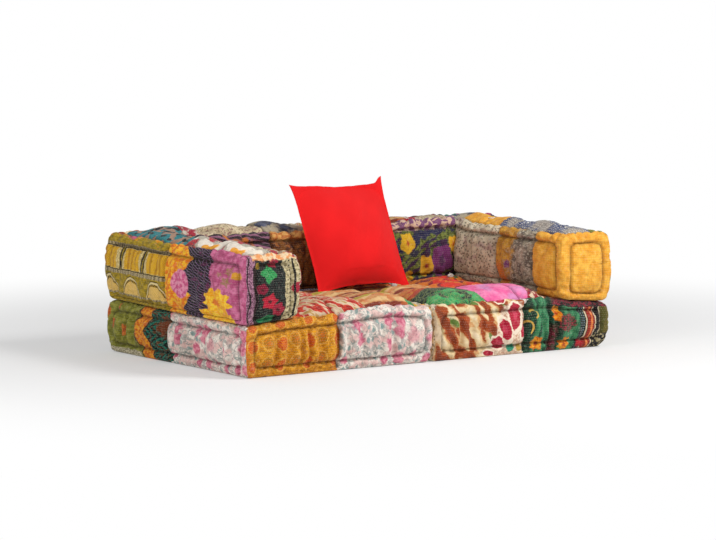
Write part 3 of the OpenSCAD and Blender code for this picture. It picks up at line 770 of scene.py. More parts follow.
def gathers(flat, limbed, high, seed):
    """Pleats of the cloth across the edge that each point is nearest to: about -0.8 in a crease and
    0.2 on a fold's crest. They run on from the rolls into the panels."""
    right, left, rear, front, hollow = wall_distances(flat, limbed)
    u, v, z = flat.T
    side_gap = np.minimum(right, left)
    end_gap = np.minimum(rear, front)
    level_gap = np.minimum(high - z, z)
    # An edge along an axis is as near as the farther of the two faces that meet there
    gaps = np.stack([
        np.maximum(end_gap, level_gap), np.maximum(side_gap, level_gap), np.maximum(side_gap, end_gap),
    ])
    share = np.exp(-(gaps - gaps.min(0)) / EDGE_BLEND)
    share /= share.sum(0)
    pleats = np.stack([
        lobes(u / GATHER + 1.5 * ripple(u * 7, z * 2.5, v * 2, seed + 3)),
        lobes(v / GATHER + 1.5 * ripple(v * 7, z * 2.5, u * 2, seed + 6)),
        lobes(z / GATHER * 1.1 + 1.5 * ripple(z * 11, u * 2, v * 2, seed + 9)),
    ])
    pleats[2] *= 0.4
    return ((share * pleats).sum(0) - 0.2) * (0.75 + 1.1 * ripple(u * 6, v * 6, z * 2, seed + 5))


def grid_places(high, seams):
    """Where the mesh is cut from 0 to high: close at seams, and in even cells between"""
    fixed = {0.0, high}
    for seam in seams:
        fixed |= {seam - SEAM_HALF, seam, seam + SEAM_HALF}
    fixed = sorted(fixed)
    places = [0.0]
    for a, b in zip(fixed, fixed[1:]):
        steps = max(1, round((b - a) / CELL))
        places += [a + (b - a) * k / steps for k in range(1, steps + 1)]
    return np.array(places)


def flat_box(name, tables, limb=None):
    """A box mesh whose faces are cut at the places in tables, one for each axis. A limb is (cells
    long, from cell): the box gets a second limb that long towards -X, where its Y is over from."""
    size = [len(table) - 1 for table in tables]
    size[0] -= limb[0] if limb else 0
    bm = bmesh.new()
    bmesh.ops.create_cube(bm, size=1)
    bmesh.ops.translate(bm, vec=(0.5, 0.5, 0.5), verts=bm.verts)
    bmesh.ops.scale(bm, vec=size, verts=bm.verts)
    if limb:
        geometry = bm.verts[:] + bm.edges[:] + bm.faces[:]
        bmesh.ops.bisect_plane(bm, geom=geometry, plane_co=(0, limb[1], 0), plane_no=(0, 1, 0))
        inner = [f for f in bm.faces if f.normal.x < -0.5 and f.calc_center_median().y > limb[1]]
        grown = bmesh.ops.extrude_discrete_faces(bm, faces=inner)["faces"]
        bmesh.ops.translate(bm, vec=(-limb[0], 0, 0), verts=grown[0].verts[:])
        bmesh.ops.translate(bm, vec=(limb[0], 0, 0), verts=bm.verts)
    for axis in range(3):
        runs = {}
        for e in bm.edges:
            step = e.verts[1].co - e.verts[0].co
            if abs(step[axis]) > 0.5:
                runs.setdefault(round(abs(step[axis])), []).append(e)
        for length, edges in runs.items():
            bmesh.ops.subdivide_edges(bm, edges=edges, cuts=length - 1, use_grid_fill=True)
    mesh = bpy.data.meshes.new(name)
    bm.to_mesh(mesh)
    bm.free()
    index = np.rint(read_rows(mesh.vertices, "co")).astype(int)
    flat = np.stack([tables[axis][index[:, axis]] for axis in range(3)], 1)
    write_points(mesh, flat)
    keep = mesh.attributes.new("flat_place", "FLOAT_VECTOR", "POINT")
    keep.data.foreach_set("vector", flat.ravel())
    return mesh, flat


def sew_patches(mesh, flat, high, limbed, side, panels):
    """Gives each face its cloth, and each patch its flat map. panels lists (side of the box, cloth,
    reach along u, reach along v). A roll that shows on top or below is of the same piece of cloth
    as the side panel next to it."""
    names = []
    centres = read_rows(mesh.polygons, "center")
    normals = read_rows(mesh.polygons, "normal")
    corners = flat[read_rows(mesh.loops, "vertex_index", 1, int)[:, 0]]
    walls = wall_distances(centres, limbed)[:4]
    nearest = np.argmin(walls, 0)
    on_roll = (np.abs(normals[:, 2]) > 0.5) & (np.min(walls, 0) < ROLL)
    for k, (axis, way) in enumerate(((0, 1), (0, -1), (1, 1), (1, -1))):
        mine = on_roll & (nearest == k)
        wall = centres[:, axis] + way * walls[k]
        loops = np.repeat(mine, 4)
        over = np.abs(corners[:, axis] - np.repeat(wall, 4))
        upper = np.repeat(normals[:, 2] > 0, 4)
        corners[:, 2] = np.where(loops, np.where(upper, high + over, -over), corners[:, 2])
        corners[:, axis] = np.where(loops, np.repeat(wall, 4), corners[:, axis])
        centres[mine, axis] = wall[mine]
        normals[mine] = 0
        normals[mine, axis] = way
    map_layer = np.zeros((len(corners), 2))
    material = np.zeros(len(mesh.polygons), int)
    # For each side: its outward direction, and the directions of s and t seen from outside
    views = {
        "front": ((0, -1, 0), (side, 0, 0), (0, 0, 1)),
        "rear": ((0, 1, 0), (-side, 0, 0), (0, 0, 1)),
        "outer": ((1, 0, 0), (0, side, 0), (0, 0, 1)),
        "inner": ((-1, 0, 0), (0, -side, 0), (0, 0, 1)),
        "top": ((0, 0, 1), (side, 0, 0), (0, 1, 0)),
        "base": ((0, 0, -1), (side, 0, 0), (0, -1, 0)),
    }
    for where, cloth, *reaches in panels:
        out, across, up = (np.array(d, float) for d in views[where])
        mine = normals @ out > 0.5
        for axis, (low, end) in enumerate(reaches):
            mine &= (centres[:, axis] >= low) & (centres[:, axis] <= end)
        if cloth not in names:
            names.append(cloth)
            mesh.materials.append(prints[cloth])
        material[mine] = names.index(cloth)
        loops = np.repeat(mine, 4)
        s = corners[loops] @ across
        t = corners[loops] @ up
        if up[2] == 0:
            t = t - t.min()
        map_layer[loops] = np.stack([s - s.min(), t], 1)
    mesh.polygons.foreach_set("material_index", material)
    mesh.uv_layers.new(name="flat_cloth").data.foreach_set("uv", map_layer.ravel())


def evaluated(thing):
    return thing.evaluated_get(bpy.context.evaluated_depsgraph_get())


def swell(cushion, sewn, excess, pressure, cap):
    """Blows the cloth up between its sewn points and lets it crease, with an excess of cloth, and
    keeps each point within cap of its place"""
    before = read_rows(cushion.data.vertices, "co")
    held = cushion.vertex_groups.new(name="sewn")
    levels = np.rint(sewn * 10).astype(int)
    for level in range(1, 11):
        held.add(np.nonzero(levels == level)[0].tolist(), level / 10, "REPLACE")
    cloth = cushion.modifiers.new("cloth", "CLOTH")
    settings = {
        "quality": 4,
        "mass": 0.25,
        "tension_stiffness": 8,
        "compression_stiffness": 8,
        "shear_stiffness": 4,
        "bending_stiffness": 0.4,
        "air_damping": 2,
        "vertex_group_mass": "sewn",
        "use_pressure": True,
        "uniform_pressure_force": pressure,
        "shrink_min": -excess,
    }
    for name, value in settings.items():
        setattr(cloth.settings, name, value)
    cloth.settings.effector_weights.gravity = 0
    cloth.collision_settings.use_collision = False
    cloth.point_cache.frame_start = 1
    cloth.point_cache.frame_end = 20
    for step in range(1, 21):
        scene.frame_set(step)
    move = read_rows(evaluated(cushion).data.vertices, "co") - before
    length = np.linalg.norm(move, axis=1, keepdims=True)
    move *= cap * np.tanh(length / cap) / np.maximum(length, 1e-9)
    cushion.modifiers.remove(cloth)
    cushion.vertex_groups.remove(held)
    write_points(cushion.data, before + move)
    scene.frame_set(1)


def smooth_once(cushion):
    """Applies one level of subdivision, which carries the flat map and the flat places along"""
    finer = cushion.modifiers.new("finer", "SUBSURF")
    finer.levels = 1
    finer.render_levels = 1
    mesh = bpy.data.meshes.new_from_object(evaluated(cushion))
    mesh.name = cushion.name
    cushion.modifiers.remove(finer)
    cushion.data = mesh
    mesh.shade_smooth()


def rolled_edges(flat, high, limbed):
    """Rounds the edges of the flat box into rolls. Returns the places and the outward directions."""
    right, left, rear, front, hollow = wall_distances(flat, limbed)

    def over(reach):
        return np.clip(ROLL_R - reach, 0, None)

    lean = np.zeros_like(flat)
    lean[:, 0] = over(right) - over(left)
    lean[:, 1] = over(rear) - over(front)
    towards = -np.stack([flat[:, 0] - ARM_U, flat[:, 1] - BACK_V], 1)
    size = np.linalg.norm(towards, axis=1, keepdims=True)
    towards = np.where(size > TINY, towards / np.maximum(size, 1e-9), -math.sqrt(0.5))
    lean[:, :2] += towards * over(hollow)[:, None]
    lean[:, 2] = over(high - flat[:, 2]) - over(flat[:, 2])
    length = np.linalg.norm(lean, axis=1, keepdims=True)
    outward = lean / np.maximum(length, 1e-9)
    return flat - lean + ROLL_R * outward, outward


def rounded_least(*gaps):
    """The least of some distances, rounded off where two are alike"""
    least = np.minimum.reduce(gaps)
    alike = sum(np.exp((least - gap) / CORNER_BLEND) for gap in gaps)
    return np.clip(least - CORNER_BLEND * np.log(alike) * np.clip(least / 0.02, 0, 1), 0, None)


def cover_reach(flat, high, limbed, base_roll):
    """Where each point is on the cover: on top, below or on a side, whether that side faces
    sideways, how far from the nearest edge, and whether the nearest edge is an upright one"""
    right, left, rear, front, hollow = wall_distances(flat, limbed)
    z = flat[:, 2]
    on_top = z > high - TINY
    on_base = z < TINY
    on_side = ~on_top & ~on_base
    side_gap = np.minimum(right, left)
    end_gap = np.minimum(rear, front)
    sideways = side_gap < TINY
    # Along a side the nearest upright corner is found from the other pair of walls
    to_corner = np.where(sideways, end_gap, side_gap)
    plan = rounded_least(side_gap, end_gap, hollow)
    reach = np.where(on_side, rounded_least(to_corner, high - z, z * ROLL / base_roll), plan)
    upright = on_side & (reach < np.minimum(high - z, z) - 0.004)
    return on_top, on_base, on_side, sideways, reach, upright


def quilt(flat, form):
    """How far the cloth stands out over the box: rolls, stitch lines, upright folds and the seams
    between patches. Also says which points are sewn. A form is the cushion's height, whether it
    has limbs, how deep its folds are, its patch seams as (axis, place), the number that its
    creases start from and how high the roll at its base is."""
    high, limbed, folds, seams, seed, base_roll = form
    on_top, on_base, on_side, sideways, reach, upright = cover_reach(flat, high, limbed, base_roll)
    stand = ROLL_PROUD * np.sin(math.pi * np.clip(reach / ROLL, 0, 1))
    stand -= np.where(upright, 0.5, 1) * SEAM_DEPTH * notch(reach - ROLL, SEAM_HALF * 1.3)
    puff = rise((reach - ROLL) / np.where(on_side, SIDE_SWELL, SWELL))
    pleats = gathers(flat, limbed, high, seed)
    stand += on_side * (SIDE_PUFF * puff + FOLD_DEPTH * folds * rise((reach - ROLL) / 0.03) * pleats)
    stand += GATHER_DEPTH * 0.5 * fall(reach / ROLL) * pleats
    sewn = notch(reach - ROLL, SEAM_HALF) > 0.9
    for axis, place in seams:
        gap = flat[:, axis] - place
        facing = on_side & (sideways if axis == 1 else ~sideways)
        drawn = PATCH_SEAM_DEPTH * notch(gap, SEAM_HALF * 1.2)
        drawn += PATCH_SEAM_DRAW * notch(gap, PATCH_SEAM_REACH)
        stand -= facing * drawn
        stand -= on_top * TOP_SEAM_DEPTH * notch(gap, SEAM_HALF)
        sewn |= facing & (np.abs(gap) < TINY)
    return stand, puff, on_top, on_base, on_side, sewn


def sew_details(mesh, side, tufts, form):
    """Works the small forms into the fine mesh: gathered rolls, narrow stitch lines, puckers along
    them and loose creases. Keeps the distance from the nearest stitch line for painted shade."""
    high, limbed, folds, seams, seed, base_roll = form
    flat = read_rows(mesh.attributes["flat_place"].data, "vector")
    on_top, on_base, on_side, sideways, reach, upright = cover_reach(flat, high, limbed, base_roll)
    u, v, z = flat.T
    drift = ripple(u * 11, v * 11, z * 11, seed)
    pleats = gathers(flat, limbed, high, seed)
    stand = GATHER_DEPTH * pleats * fall(reach / ROLL) ** 0.5
    stand += on_side * FOLD_DEPTH * 0.5 * folds * pleats * np.clip((reach - ROLL) / 0.015, 0, 1)
    to_seam = np.abs(reach - ROLL)
    stand += PUCKER_DEPTH * (lobes((u + v + z) / PUCKER + drift * 3) * notch(to_seam, PUCKER_REACH))
    for axis, place in seams:
        facing = (on_side & (sideways if axis == 1 else ~sideways)) | on_top
        to_seam = np.where(facing, np.minimum(to_seam, np.abs(flat[:, axis] - place)), to_seam)
    stand -= np.where(upright, UPRIGHT_LINE_DEPTH, LINE_DEPTH) * notch(to_seam, LINE_HALF)
    tuft_gaps = [np.hypot(u - a, v - b) for a, b in tufts]
    nearest = np.array(tufts)[np.argmin(tuft_gaps, 0)]
    rays = np.cos(RAYS * np.arctan2(v - nearest[:, 1], u - nearest[:, 0]) + seed)
    stand += on_top * RAY_DEPTH * rays * notch(np.min(tuft_gaps, 0) - RAY_PLACE, RAY_HALF)
    crease = np.abs(ripple(u * 26 + drift, v * 26, z * 20, seed + 2))
    stand -= CREASE_DEPTH * notch(crease, CREASE_HALF)
    stand += LOOSE_WAVE * ripple(u * 14, v * 14, z * 14, seed + 4)
    stand = np.where(on_base, 0, stand)
    stand = np.where(u < TINY, np.minimum(stand, 0), stand)
    points = read_rows(mesh.vertices, "co") + read_rows(mesh.vertices, "normal") * stand[:, None]
    points[:, 0] = side * np.clip(side * points[:, 0], SOFT_GAP / 2, None)
    points[:, 2] = np.clip(points[:, 2], 0, None)
    write_points(mesh, points)
    # The cloth paints shade near the stitch lines by this distance
    painted_shade_distance = mesh.attributes.new("to_stitches", "FLOAT", "POINT")
    painted_shade_distance.data.foreach_set("value", to_seam)
    mesh.attributes.remove(mesh.attributes["flat_place"])


def bow_walls(places, flat, high, limbed, barrel, foot_draw):
    """Bows the upright walls out at half height and draws them in at the foot"""
    z = flat[:, 2] / high
    bow = barrel * np.sin(math.pi * z) - foot_draw * (1 - ease(z * 2.5))
    near = [ease(1 - wall / 0.06) for wall in wall_distances(flat, limbed)[:4]]
    near[1] = np.where(flat[:, 0] < 0.06, 0, near[1])
    places[:, 0] += (near[0] - near[1]) * bow
    places[:, 1] += (near[2] - near[3]) * bow


def finish_cushion(body, mesh, places, pinned, sewn, side, tufts, form):
    """Moves a cushion from its module's frame to the sofa's, mirrored for the left module, swells
    its cloth and works in the small forms"""
    places[:, 0] = side * (SOFT_GAP / 2 + np.clip(places[:, 0], 0, None))
    places[:, 1] -= SEAT_D / 2
    if side < 0:
        mesh.flip_normals()
    write_points(mesh, places)
    cushion = show(body + "_cushion", mesh)
    held = np.where(pinned, 1.0, np.where(sewn, 0.8, 0.0))
    swell(cushion, held, excess=0.05, pressure=3.0, cap=0.009)
    smooth_once(cushion)
    sew_details(cushion.data, side, tufts, form)
    return cushion


def settle(side, u, v):
    """How much higher than drawn a bolster and the seat under it stand"""
    if side > 0:
        return -0.015 * np.exp(-(v / 0.28) ** 2) * ease((u - ARM_U + 0.1) / 0.15)
    return 0.009 * ease((v - 0.4) / 0.6) * ease((u - ARM_U + 0.1) / 0.2)


def foot_slope(u, v):
    """1 at a bolster's inner edge, falling to 0 at the outer walls, where it presses deepest"""
    return np.minimum.reduce([np.ones_like(u), (SEAT_W - u) / ARM_W, (SEAT_D - v) / BACK_W])


PILLOW_U = 0.075
PILLOW_SIDE = 0.45
PILLOW_LEAN = math.radians(24)
pillow_low, pillow_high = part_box("pillow_cover")
PILLOW_Z = SEAT_H + 0.002
PILLOW_V = SEAT_D / 2 + pillow_low.y + 0.045
SEAT_TUFTS = [(SEAT_W * i / 3, SEAT_D * j / 3) for i in (1, 2) for j in (1, 2)]


def highest_under_pillow(u, v, pillow_at):
    """Highest that the seat may stand under the pillow's lower edge"""
    du = np.clip(np.abs(u - pillow_at) - PILLOW_SIDE / 2 - 0.04, 0, None)
    dv = np.clip(np.abs(v - PILLOW_V) - 0.06, 0, None)
    return PILLOW_Z - 0.011 + 0.35 * np.hypot(du, dv)


def corner_mound(u, v):
    """A long mound on the slant at the tuft of the seat's inner corner, up to the bolster's foot"""
    du = u - TWO_THIRDS
    dv = v - SEAT_D * 2 / 3
    along = 0.82 * du - 0.57 * dv
    across = 0.57 * du + 0.82 * dv
    clear = ease((FOOT_U + 0.012 - u) / 0.03) * ease((FOOT_V + 0.012 - v) / 0.03)
    return clear, np.exp(-(along / 0.12) ** 2 - (across / 0.05) ** 2)


def seat_mattress(body, side, panels, folds, seams, edge_lift, seed):
    """One seat. edge_lift(u) says how much more than its height the front roll stands"""
    high = SEAT_BOX_H
    form = high, False, folds, seams, seed, ROLL
    us = grid_places(SEAT_W, [ROLL, THIRD, TWO_THIRDS, SEAT_W - ROLL, seams[0][1]])
    vs = grid_places(SEAT_D, [ROLL, SEAT_D / 3, SEAT_D * 2 / 3, SEAT_D - ROLL, seams[1][1]])
    mesh, flat = flat_box(body + "_cushion", (us, vs, grid_places(high, (ROLL, high - ROLL))))
    sew_patches(mesh, flat, high, False, side, panels)
    places, outward = rolled_edges(flat, high, False)
    stand, puff, on_top, on_base, on_side, sewn = quilt(flat, form)
    u, v, z = flat.T
    valley_u = np.cos(math.pi * 3 * u / SEAT_W) ** 4
    valley_v = np.cos(math.pi * 3 * v / SEAT_D) ** 4
    hump = SEAT_CROWN - VALLEY * np.maximum(valley_u, valley_v) - TUFT_DIP * valley_u * valley_v
    if side > 0:
        # The right seat's middle is sat in a little
        hollow = np.exp(-((u - 0.49) / HOLLOW_REACH) ** 2 - ((v - 0.51) / HOLLOW_REACH) ** 2)
        hump = hump - HOLLOW_DEPTH * hollow
    loaded = LOADED_H + FOOT_RISE * foot_slope(u, v) + settle(side, u, v)
    free_share = ease((FOOT_U - u) / SWELL) * ease((FOOT_V - v) / SWELL)
    stand = np.where(on_top, stand * free_share + free_share * puff * hump, stand)
    if side > 0:
        clear, mound = corner_mound(u, v)
        stand += CORNER_SWELL * on_top * clear * mound
    stand = np.where(on_base, 0, stand)
    on_end = (u < TINY) | (u > SEAT_W - TINY)
    draw = SIDE_DRAW * np.where(on_end, np.sin(math.pi * v), np.sin(math.pi * u / SEAT_W))
    stand = np.where(on_side, stand - draw, stand)
    stand = np.where(u < TINY, np.minimum(stand, 0) * on_side, stand)
    places = places + outward * stand[:, None]
    foot_draw = FOOT_DRAW * (1 if side > 0 else 1 - 0.9 * ease((v - 0.3) / 0.5))
    bow_walls(places, flat, high, False, SEAT_BOW, foot_draw)
    free = SEAT_H + edge_lift(u) * np.clip(1 - v / 0.25, 0, 1)
    top = loaded + (free - loaded) * free_share
    places[:, 2] *= 1 + (top - high) / high * ease(z / high * 1.4 - 0.1)
    dent = highest_under_pillow(u, v, side * PILLOW_U)
    places[:, 2] = np.where(on_top & (free_share > 0), np.minimum(places[:, 2], dent), places[:, 2])
    tuft = (valley_u * valley_v > 0.95) & on_top
    pinned = on_base | (on_top & (free_share < 0.02)) | (u < TINY) | tuft
    cushion = finish_cushion(body, mesh, places, pinned, sewn, side, SEAT_TUFTS, form)
    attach(cushion, body)
    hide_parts(body + "_cover", body + "_filling")
    return cushion


def patches(where, cloths, axis, cuts, other=ALL):
    """The patches of one side of the box from the low end of an axis, cut across that axis, each as
    (side, cloth, reach along u, reach along v). other is their reach along the other axis."""
    steps = [-FAR, *cuts, FAR]
    reaches = list(zip(cloths, zip(steps, steps[1:])))
    if axis == 0:
        return [(where, cloth, reach, other) for cloth, reach in reaches]
    return [(where, cloth, other, reach) for cloth, reach in reaches]


def seat_panels(front, outer, tops, rear, inner, seams):
    """The patches of a seat: two on each side from the mid plane outwards or from the front
    backwards, and three rows on top from the front, each a list of (cloth, how far it reaches)"""
    cut_u, cut_v = [place for axis, place in seams]
    panels = patches("front", front, 0, [cut_u]) + patches("rear", rear, 0, [cut_u])
    panels += patches("outer", outer, 1, [cut_v]) + patches("inner", inner, 1, [cut_v])
    panels += patches("base", ["plain_ticking"], 0, [])
    for k, row in enumerate(tops):
        starts = [-FAR] + [reach for cloth, reach in row[:-1]]
        for start, (cloth, reach) in zip(starts, row):
            panels.append(("top", cloth, (start, reach), (SEAT_D * k / 3, SEAT_D * (k + 1) / 3)))
    return panels


LEFT_SEAMS = [(0, 0.43), (1, 0.555)]
RIGHT_SEAMS = [(0, 0.447), (1, 0.5)]
left_seat = seat_mattress("left_seat", -1, seat_panels(
    ("rose_sprig", "mustard_paisley"), ("rose_sprig", "olive_sprig"),
    ((("green_scale", 0.085), ("tan_stripes", THIRD), ("coral_strokes", TWO_THIRDS), ("poppy_red", FAR)),
     (("tan_stripes", THIRD), ("coral_strokes", TWO_THIRDS), ("bright_pink", FAR)),
     (("navy_dotted", THIRD), ("poppy_red", TWO_THIRDS), ("green_scale", FAR))),
    ("rust_ikat", "teal_batik"), ("saffron_gauze", "grey_speckle"), LEFT_SEAMS,
), 1.15, LEFT_SEAMS, lambda u: 0.018 * np.exp(-((u - 0.22) / 0.16) ** 2), 11.0)
right_seat = seat_mattress("right_seat", 1, seat_panels(
    ("rust_ikat", "green_stripe"), ("olive_sprig", "mustard_paisley"),
    ((("green_scale", THIRD), ("bright_pink", TWO_THIRDS), ("tan_stripes", FAR)),
     (("tan_stripes", THIRD), ("poppy_red", TWO_THIRDS), ("poppy_red", FAR)),
     (("poppy_red", THIRD), ("tan_stripes", TWO_THIRDS), ("poppy_red", FAR))),
    ("golden_blocks", "rose_sprig"), ("grey_speckle", "coral_strokes"), RIGHT_SEAMS,
), 1.0, RIGHT_SEAMS, lambda u: 0.0 * u, 23.0)

# Corner bolsters
# Each module's arm and its half of the back are one L-shaped bolster of packed cotton, laid on the
# seat and not fastened. Its cover has the seats' rolls, and a row of tufts runs round its top.
BOLSTER_Z = LOADED_H + SOFT_GAP
BOLSTER_H = 0.262
BOLSTER_CROWN = 0.026
BOLSTER_DRAW = 0.006
BOLSTER_BOW = 0.015
TUFT_REACH = 0.045
FLATTER = 0.65
ROLL_LIFT = 0.018
ARM_LEAN = 0.02
ARM_MID = ARM_U + ARM_W / 2
BACK_MID = BACK_V + BACK_W / 2
BOLSTER_TUFTS = [(ARM_U * k / 6, BACK_MID) for k in (1, 3, 5)]
BOLSTER_TUFTS += [(ARM_MID, BACK_V * k / 6) for k in (1, 3, 5)]
BOLSTER_TUFTS += [(ARM_MID, BACK_MID)]


def corner_bolster(body, side, panels, folds, seams, seed, base_roll):
    """One bolster, its arm towards the front. base_roll is how high the roll at its base is"""
    high = BOLSTER_H
    form = high, True, folds, seams, seed, base_roll
    us_back = grid_places(ARM_U, [ROLL, ARM_U / 3] + [place for axis, place in seams if axis == 0])
    us_arm = ARM_U + grid_places(ARM_W, (ROLL, ARM_W - ROLL))
    vs_arm = grid_places(BACK_V, [ROLL] + [place for axis, place in seams if axis == 1])
    vs_back = BACK_V + grid_places(BACK_W, (ROLL, BACK_W - ROLL))
    us = np.concatenate([us_back, us_arm[1:]])
    vs = np.concatenate([vs_arm, vs_back[1:]])
    zs = grid_places(high, (base_roll, high - ROLL))
    mesh, flat = flat_box(body + "_cushion", (us, vs, zs), (len(us_back) - 1, len(vs_arm) - 1))
    sew_patches(mesh, flat, high, True, side, panels)
    places, outward = rolled_edges(flat, high, True)
    stand, puff, on_top, on_base, on_side, sewn = quilt(flat, form)
    u, v, z = flat.T
    tuft_gaps = [(u - a) ** 2 + (v - b) ** 2 for a, b in BOLSTER_TUFTS]
    tufted = np.exp(-np.min(tuft_gaps, 0) / TUFT_REACH ** 2)
    between = np.where(v < BACK_V, np.cos(math.pi * 3 * v / BACK_V), np.cos(math.pi * 3 * u / ARM_U)) ** 4
    between = np.where((v >= BACK_V) & (u >= ARM_U), 0, between)
    # The right bolster's back is packed flatter than the rest, and its front roll stands higher.
    # Its arm is packed fuller, so its tufts are shallow.
    flatter = ease((v - BACK_V + 0.1) / 0.15) if side > 0 else 0
    fuller = 0.5 * (1 - flatter) if side > 0 else 0
    drawn = BOLSTER_DRAW * (1 - between) * (1 - fuller)
    hump = puff * (BOLSTER_CROWN * (1 - FLATTER * flatter) - drawn)
    hump -= TUFT_DIP * tufted * (1 - fuller)
    stand = np.where(on_top, stand + hump, stand)
    stand = np.where(on_base, 0, stand)
    stand = np.where(u < TINY, np.minimum(stand, 0) * on_side, stand)
    places = places + outward * stand[:, None]
    bow_walls(places, flat, high, True, BOLSTER_BOW, 0)
    if side > 0:
        inside = np.where(u < ARM_U, ease(u / ARM_U), 1 - ease((u - ARM_U) / ARM_W))
        places[:, 0] += ARM_LEAN * ease(v / BACK_V) * inside
    low = 1 - ease(z / high)
    lifted = ease((u - 0.2) / 0.2) * (1 - ease((v - BACK_V - 0.01) / 0.12))
    places[:, 2] += ROLL_LIFT * flatter * lifted * (1 - low)
    sunk = settle(side, u, v) * (1 if side < 0 else low)
    places[:, 2] += BOLSTER_Z + FOOT_RISE * foot_slope(u, v) * low + sunk
    pinned = on_base | (u < TINY) | ((tufted > 0.95) & on_top)
    cushion = finish_cushion(body, mesh, places, pinned, sewn, side, BOLSTER_TUFTS, form)
    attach(cushion, body)
    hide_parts(body + "_cover", body + "_filling")
    return cushion


def bolster_panels(front_end, outer, arm_inner, back_front, end, rear, tops, back_cuts, seams):
    """The patches of a bolster: the back's from the mid plane outwards, the arm's from the front.
    tops go round from the arm's front to the mid plane."""
    cut_u, cut_v, *more_cuts = [place for axis, place in seams]
    arm = (ARM_U, FAR)
    panels = [("front", front_end, arm, (-FAR, BACK_V / 2))]
    panels += patches("front", back_front, 0, [cut_u], (BACK_V / 2, FAR))[::-1]
    panels += patches("outer", outer, 1, [cut_v])
    panels += [("inner", end, (-FAR, ARM_U / 2), ALL)]
    panels += patches("rear", rear, 0, [cut_u])[::-1]
    panels += patches("base", ["plain_ticking"], 0, [])
    panels += patches("inner", arm_inner, 1, more_cuts + [cut_v], (ARM_U / 2, FAR))
    panels += patches("top", tops[:4], 1, [BACK_V / 3, BACK_V * 2 / 3, BACK_V], arm)
    steps = (ARM_U, *back_cuts, -FAR)
    for cloth, reach, start in zip(tops[4:], steps, steps[1:]):
        panels.append(("top", cloth, (start, reach), (BACK_V, FAR)))
    return panels


LEFT_BOLSTER_SEAMS = [(0, 0.26), (1, 0.555)]
RIGHT_BOLSTER_SEAMS = [(0, 0.3), (1, 0.44), (1, 0.19)]
left_bolster = corner_bolster("left_bolster", -1, bolster_panels(
    "night_flowers", ("pink_star", "golden_blocks"), ("beige_speckle", "purple_stripe"),
    ("umber_weave", "purple_stripe"), "grey_speckle", ("rose_sprig", "rust_ikat"),
    ("white_lily", "white_lily", "teal_batik", "teal_batik", "beige_speckle", "grey_ink"), (0.26,),
    LEFT_BOLSTER_SEAMS,
), 0.35, LEFT_BOLSTER_SEAMS, 37.0, 0.016)
right_bolster = corner_bolster("right_bolster", 1, bolster_panels(
    "saffron_gauze", ("olive_sprig", "pink_star"), ("saffron_gauze", "gold_speckle", "grey_speckle"),
    ("plum_floral", "plum_floral"), "coral_strokes", ("mustard_paisley", "green_stripe"),
    ("navy_dotted", "navy_dotted", "saffron_gauze", "grey_ink",
     "beige_speckle", "tan_stripes", "poppy_red"), (ARM_U * 2 / 3, ARM_U / 3), RIGHT_BOLSTER_SEAMS,
), 0.35, RIGHT_BOLSTER_SEAMS, 51.0, 0.03)

# Tuft knots
# White cotton twine runs down through each quilted cushion and is tied off in a small flat knot
# at the bottom of every dimple, with its two ends cut short.
SEAT_KNOT = 0.0125
BOLSTER_KNOT = 0.0075
KNOT_SINK = 0.0095
TAIL_TILT = 1.15
FRONT_ROLL_TUFT = (0.45, 0.02)
twine = start_material("cotton_twine")
on_sofa = dye("TexCoord", {}, "Object")
lay = dye("TexWave", {"Scale": 260, "Distortion": 1.5, "Vector": on_sofa}, "Fac")
feed(cloth_nodes["Principled BSDF"], {
    "Base Color": mix(lay, "#d8d2c4", "#f4f1ea"),
    "Normal": dye("Bump", {"Distance": 0.0005, "Height": lay}),
    "Roughness": 0.75,
})


def tuft_knots(body, cushion, side, tufts, size):
    """Knots that sit on the cushion's top at its tufts, the smaller ones deeper in"""
    points = read_rows(cushion.data.vertices, "co")
    bm = bmesh.new()
    for k, (u, v) in enumerate(tufts):
        at = np.array([side * (SOFT_GAP / 2 + u), v - SEAT_D / 2])
        near = np.hypot(points[:, 0] - at[0], points[:, 1] - at[1]) < 0.012
        top = points[near, 2].max()
        foot = points[near & (points[:, 2] > top - 0.03), 2].mean()
        turn = Matrix.Rotation(0.7 * k + u, 3, "Z")
        loop = bmesh.ops.create_uvsphere(bm, u_segments=12, v_segments=8, radius=size)["verts"]
        bmesh.ops.scale(bm, vec=(1.15, 0.95, 0.8), verts=loop)
        seat = (at[0], at[1], foot + size - KNOT_SINK)
        bmesh.ops.translate(bm, vec=seat, verts=loop)
        for end in (-1, 1):
            tail = bmesh.ops.create_cone(
                bm, cap_ends=True, segments=8, radius1=0.0015, radius2=0.002, depth=1.8 * size
            )["verts"]
            bmesh.ops.translate(bm, vec=(0, 0, 1.05 * size), verts=tail)
            bmesh.ops.rotate(bm, matrix=Matrix.Rotation(end * TAIL_TILT, 3, "X"), verts=tail)
            bmesh.ops.rotate(bm, matrix=turn, verts=tail)
            bmesh.ops.translate(bm, vec=seat, verts=tail)
    mesh = bpy.data.meshes.new(body + "_knots")
    bm.to_mesh(mesh)
    bm.free()
    mesh.materials.append(twine)
    mesh.shade_smooth()
    knots = show(body + "_knots", mesh)
    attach(knots, body)
    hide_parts(body + "_ties")


tuft_knots("left_seat", left_seat, -1, SEAT_TUFTS, SEAT_KNOT)
tuft_knots("right_seat", right_seat, 1, SEAT_TUFTS + [FRONT_ROLL_TUFT], SEAT_KNOT)
tuft_knots("left_bolster", left_bolster, -1, BOLSTER_TUFTS, BOLSTER_KNOT)
tuft_knots("right_bolster", right_bolster, 1, BOLSTER_TUFTS, BOLSTER_KNOT)

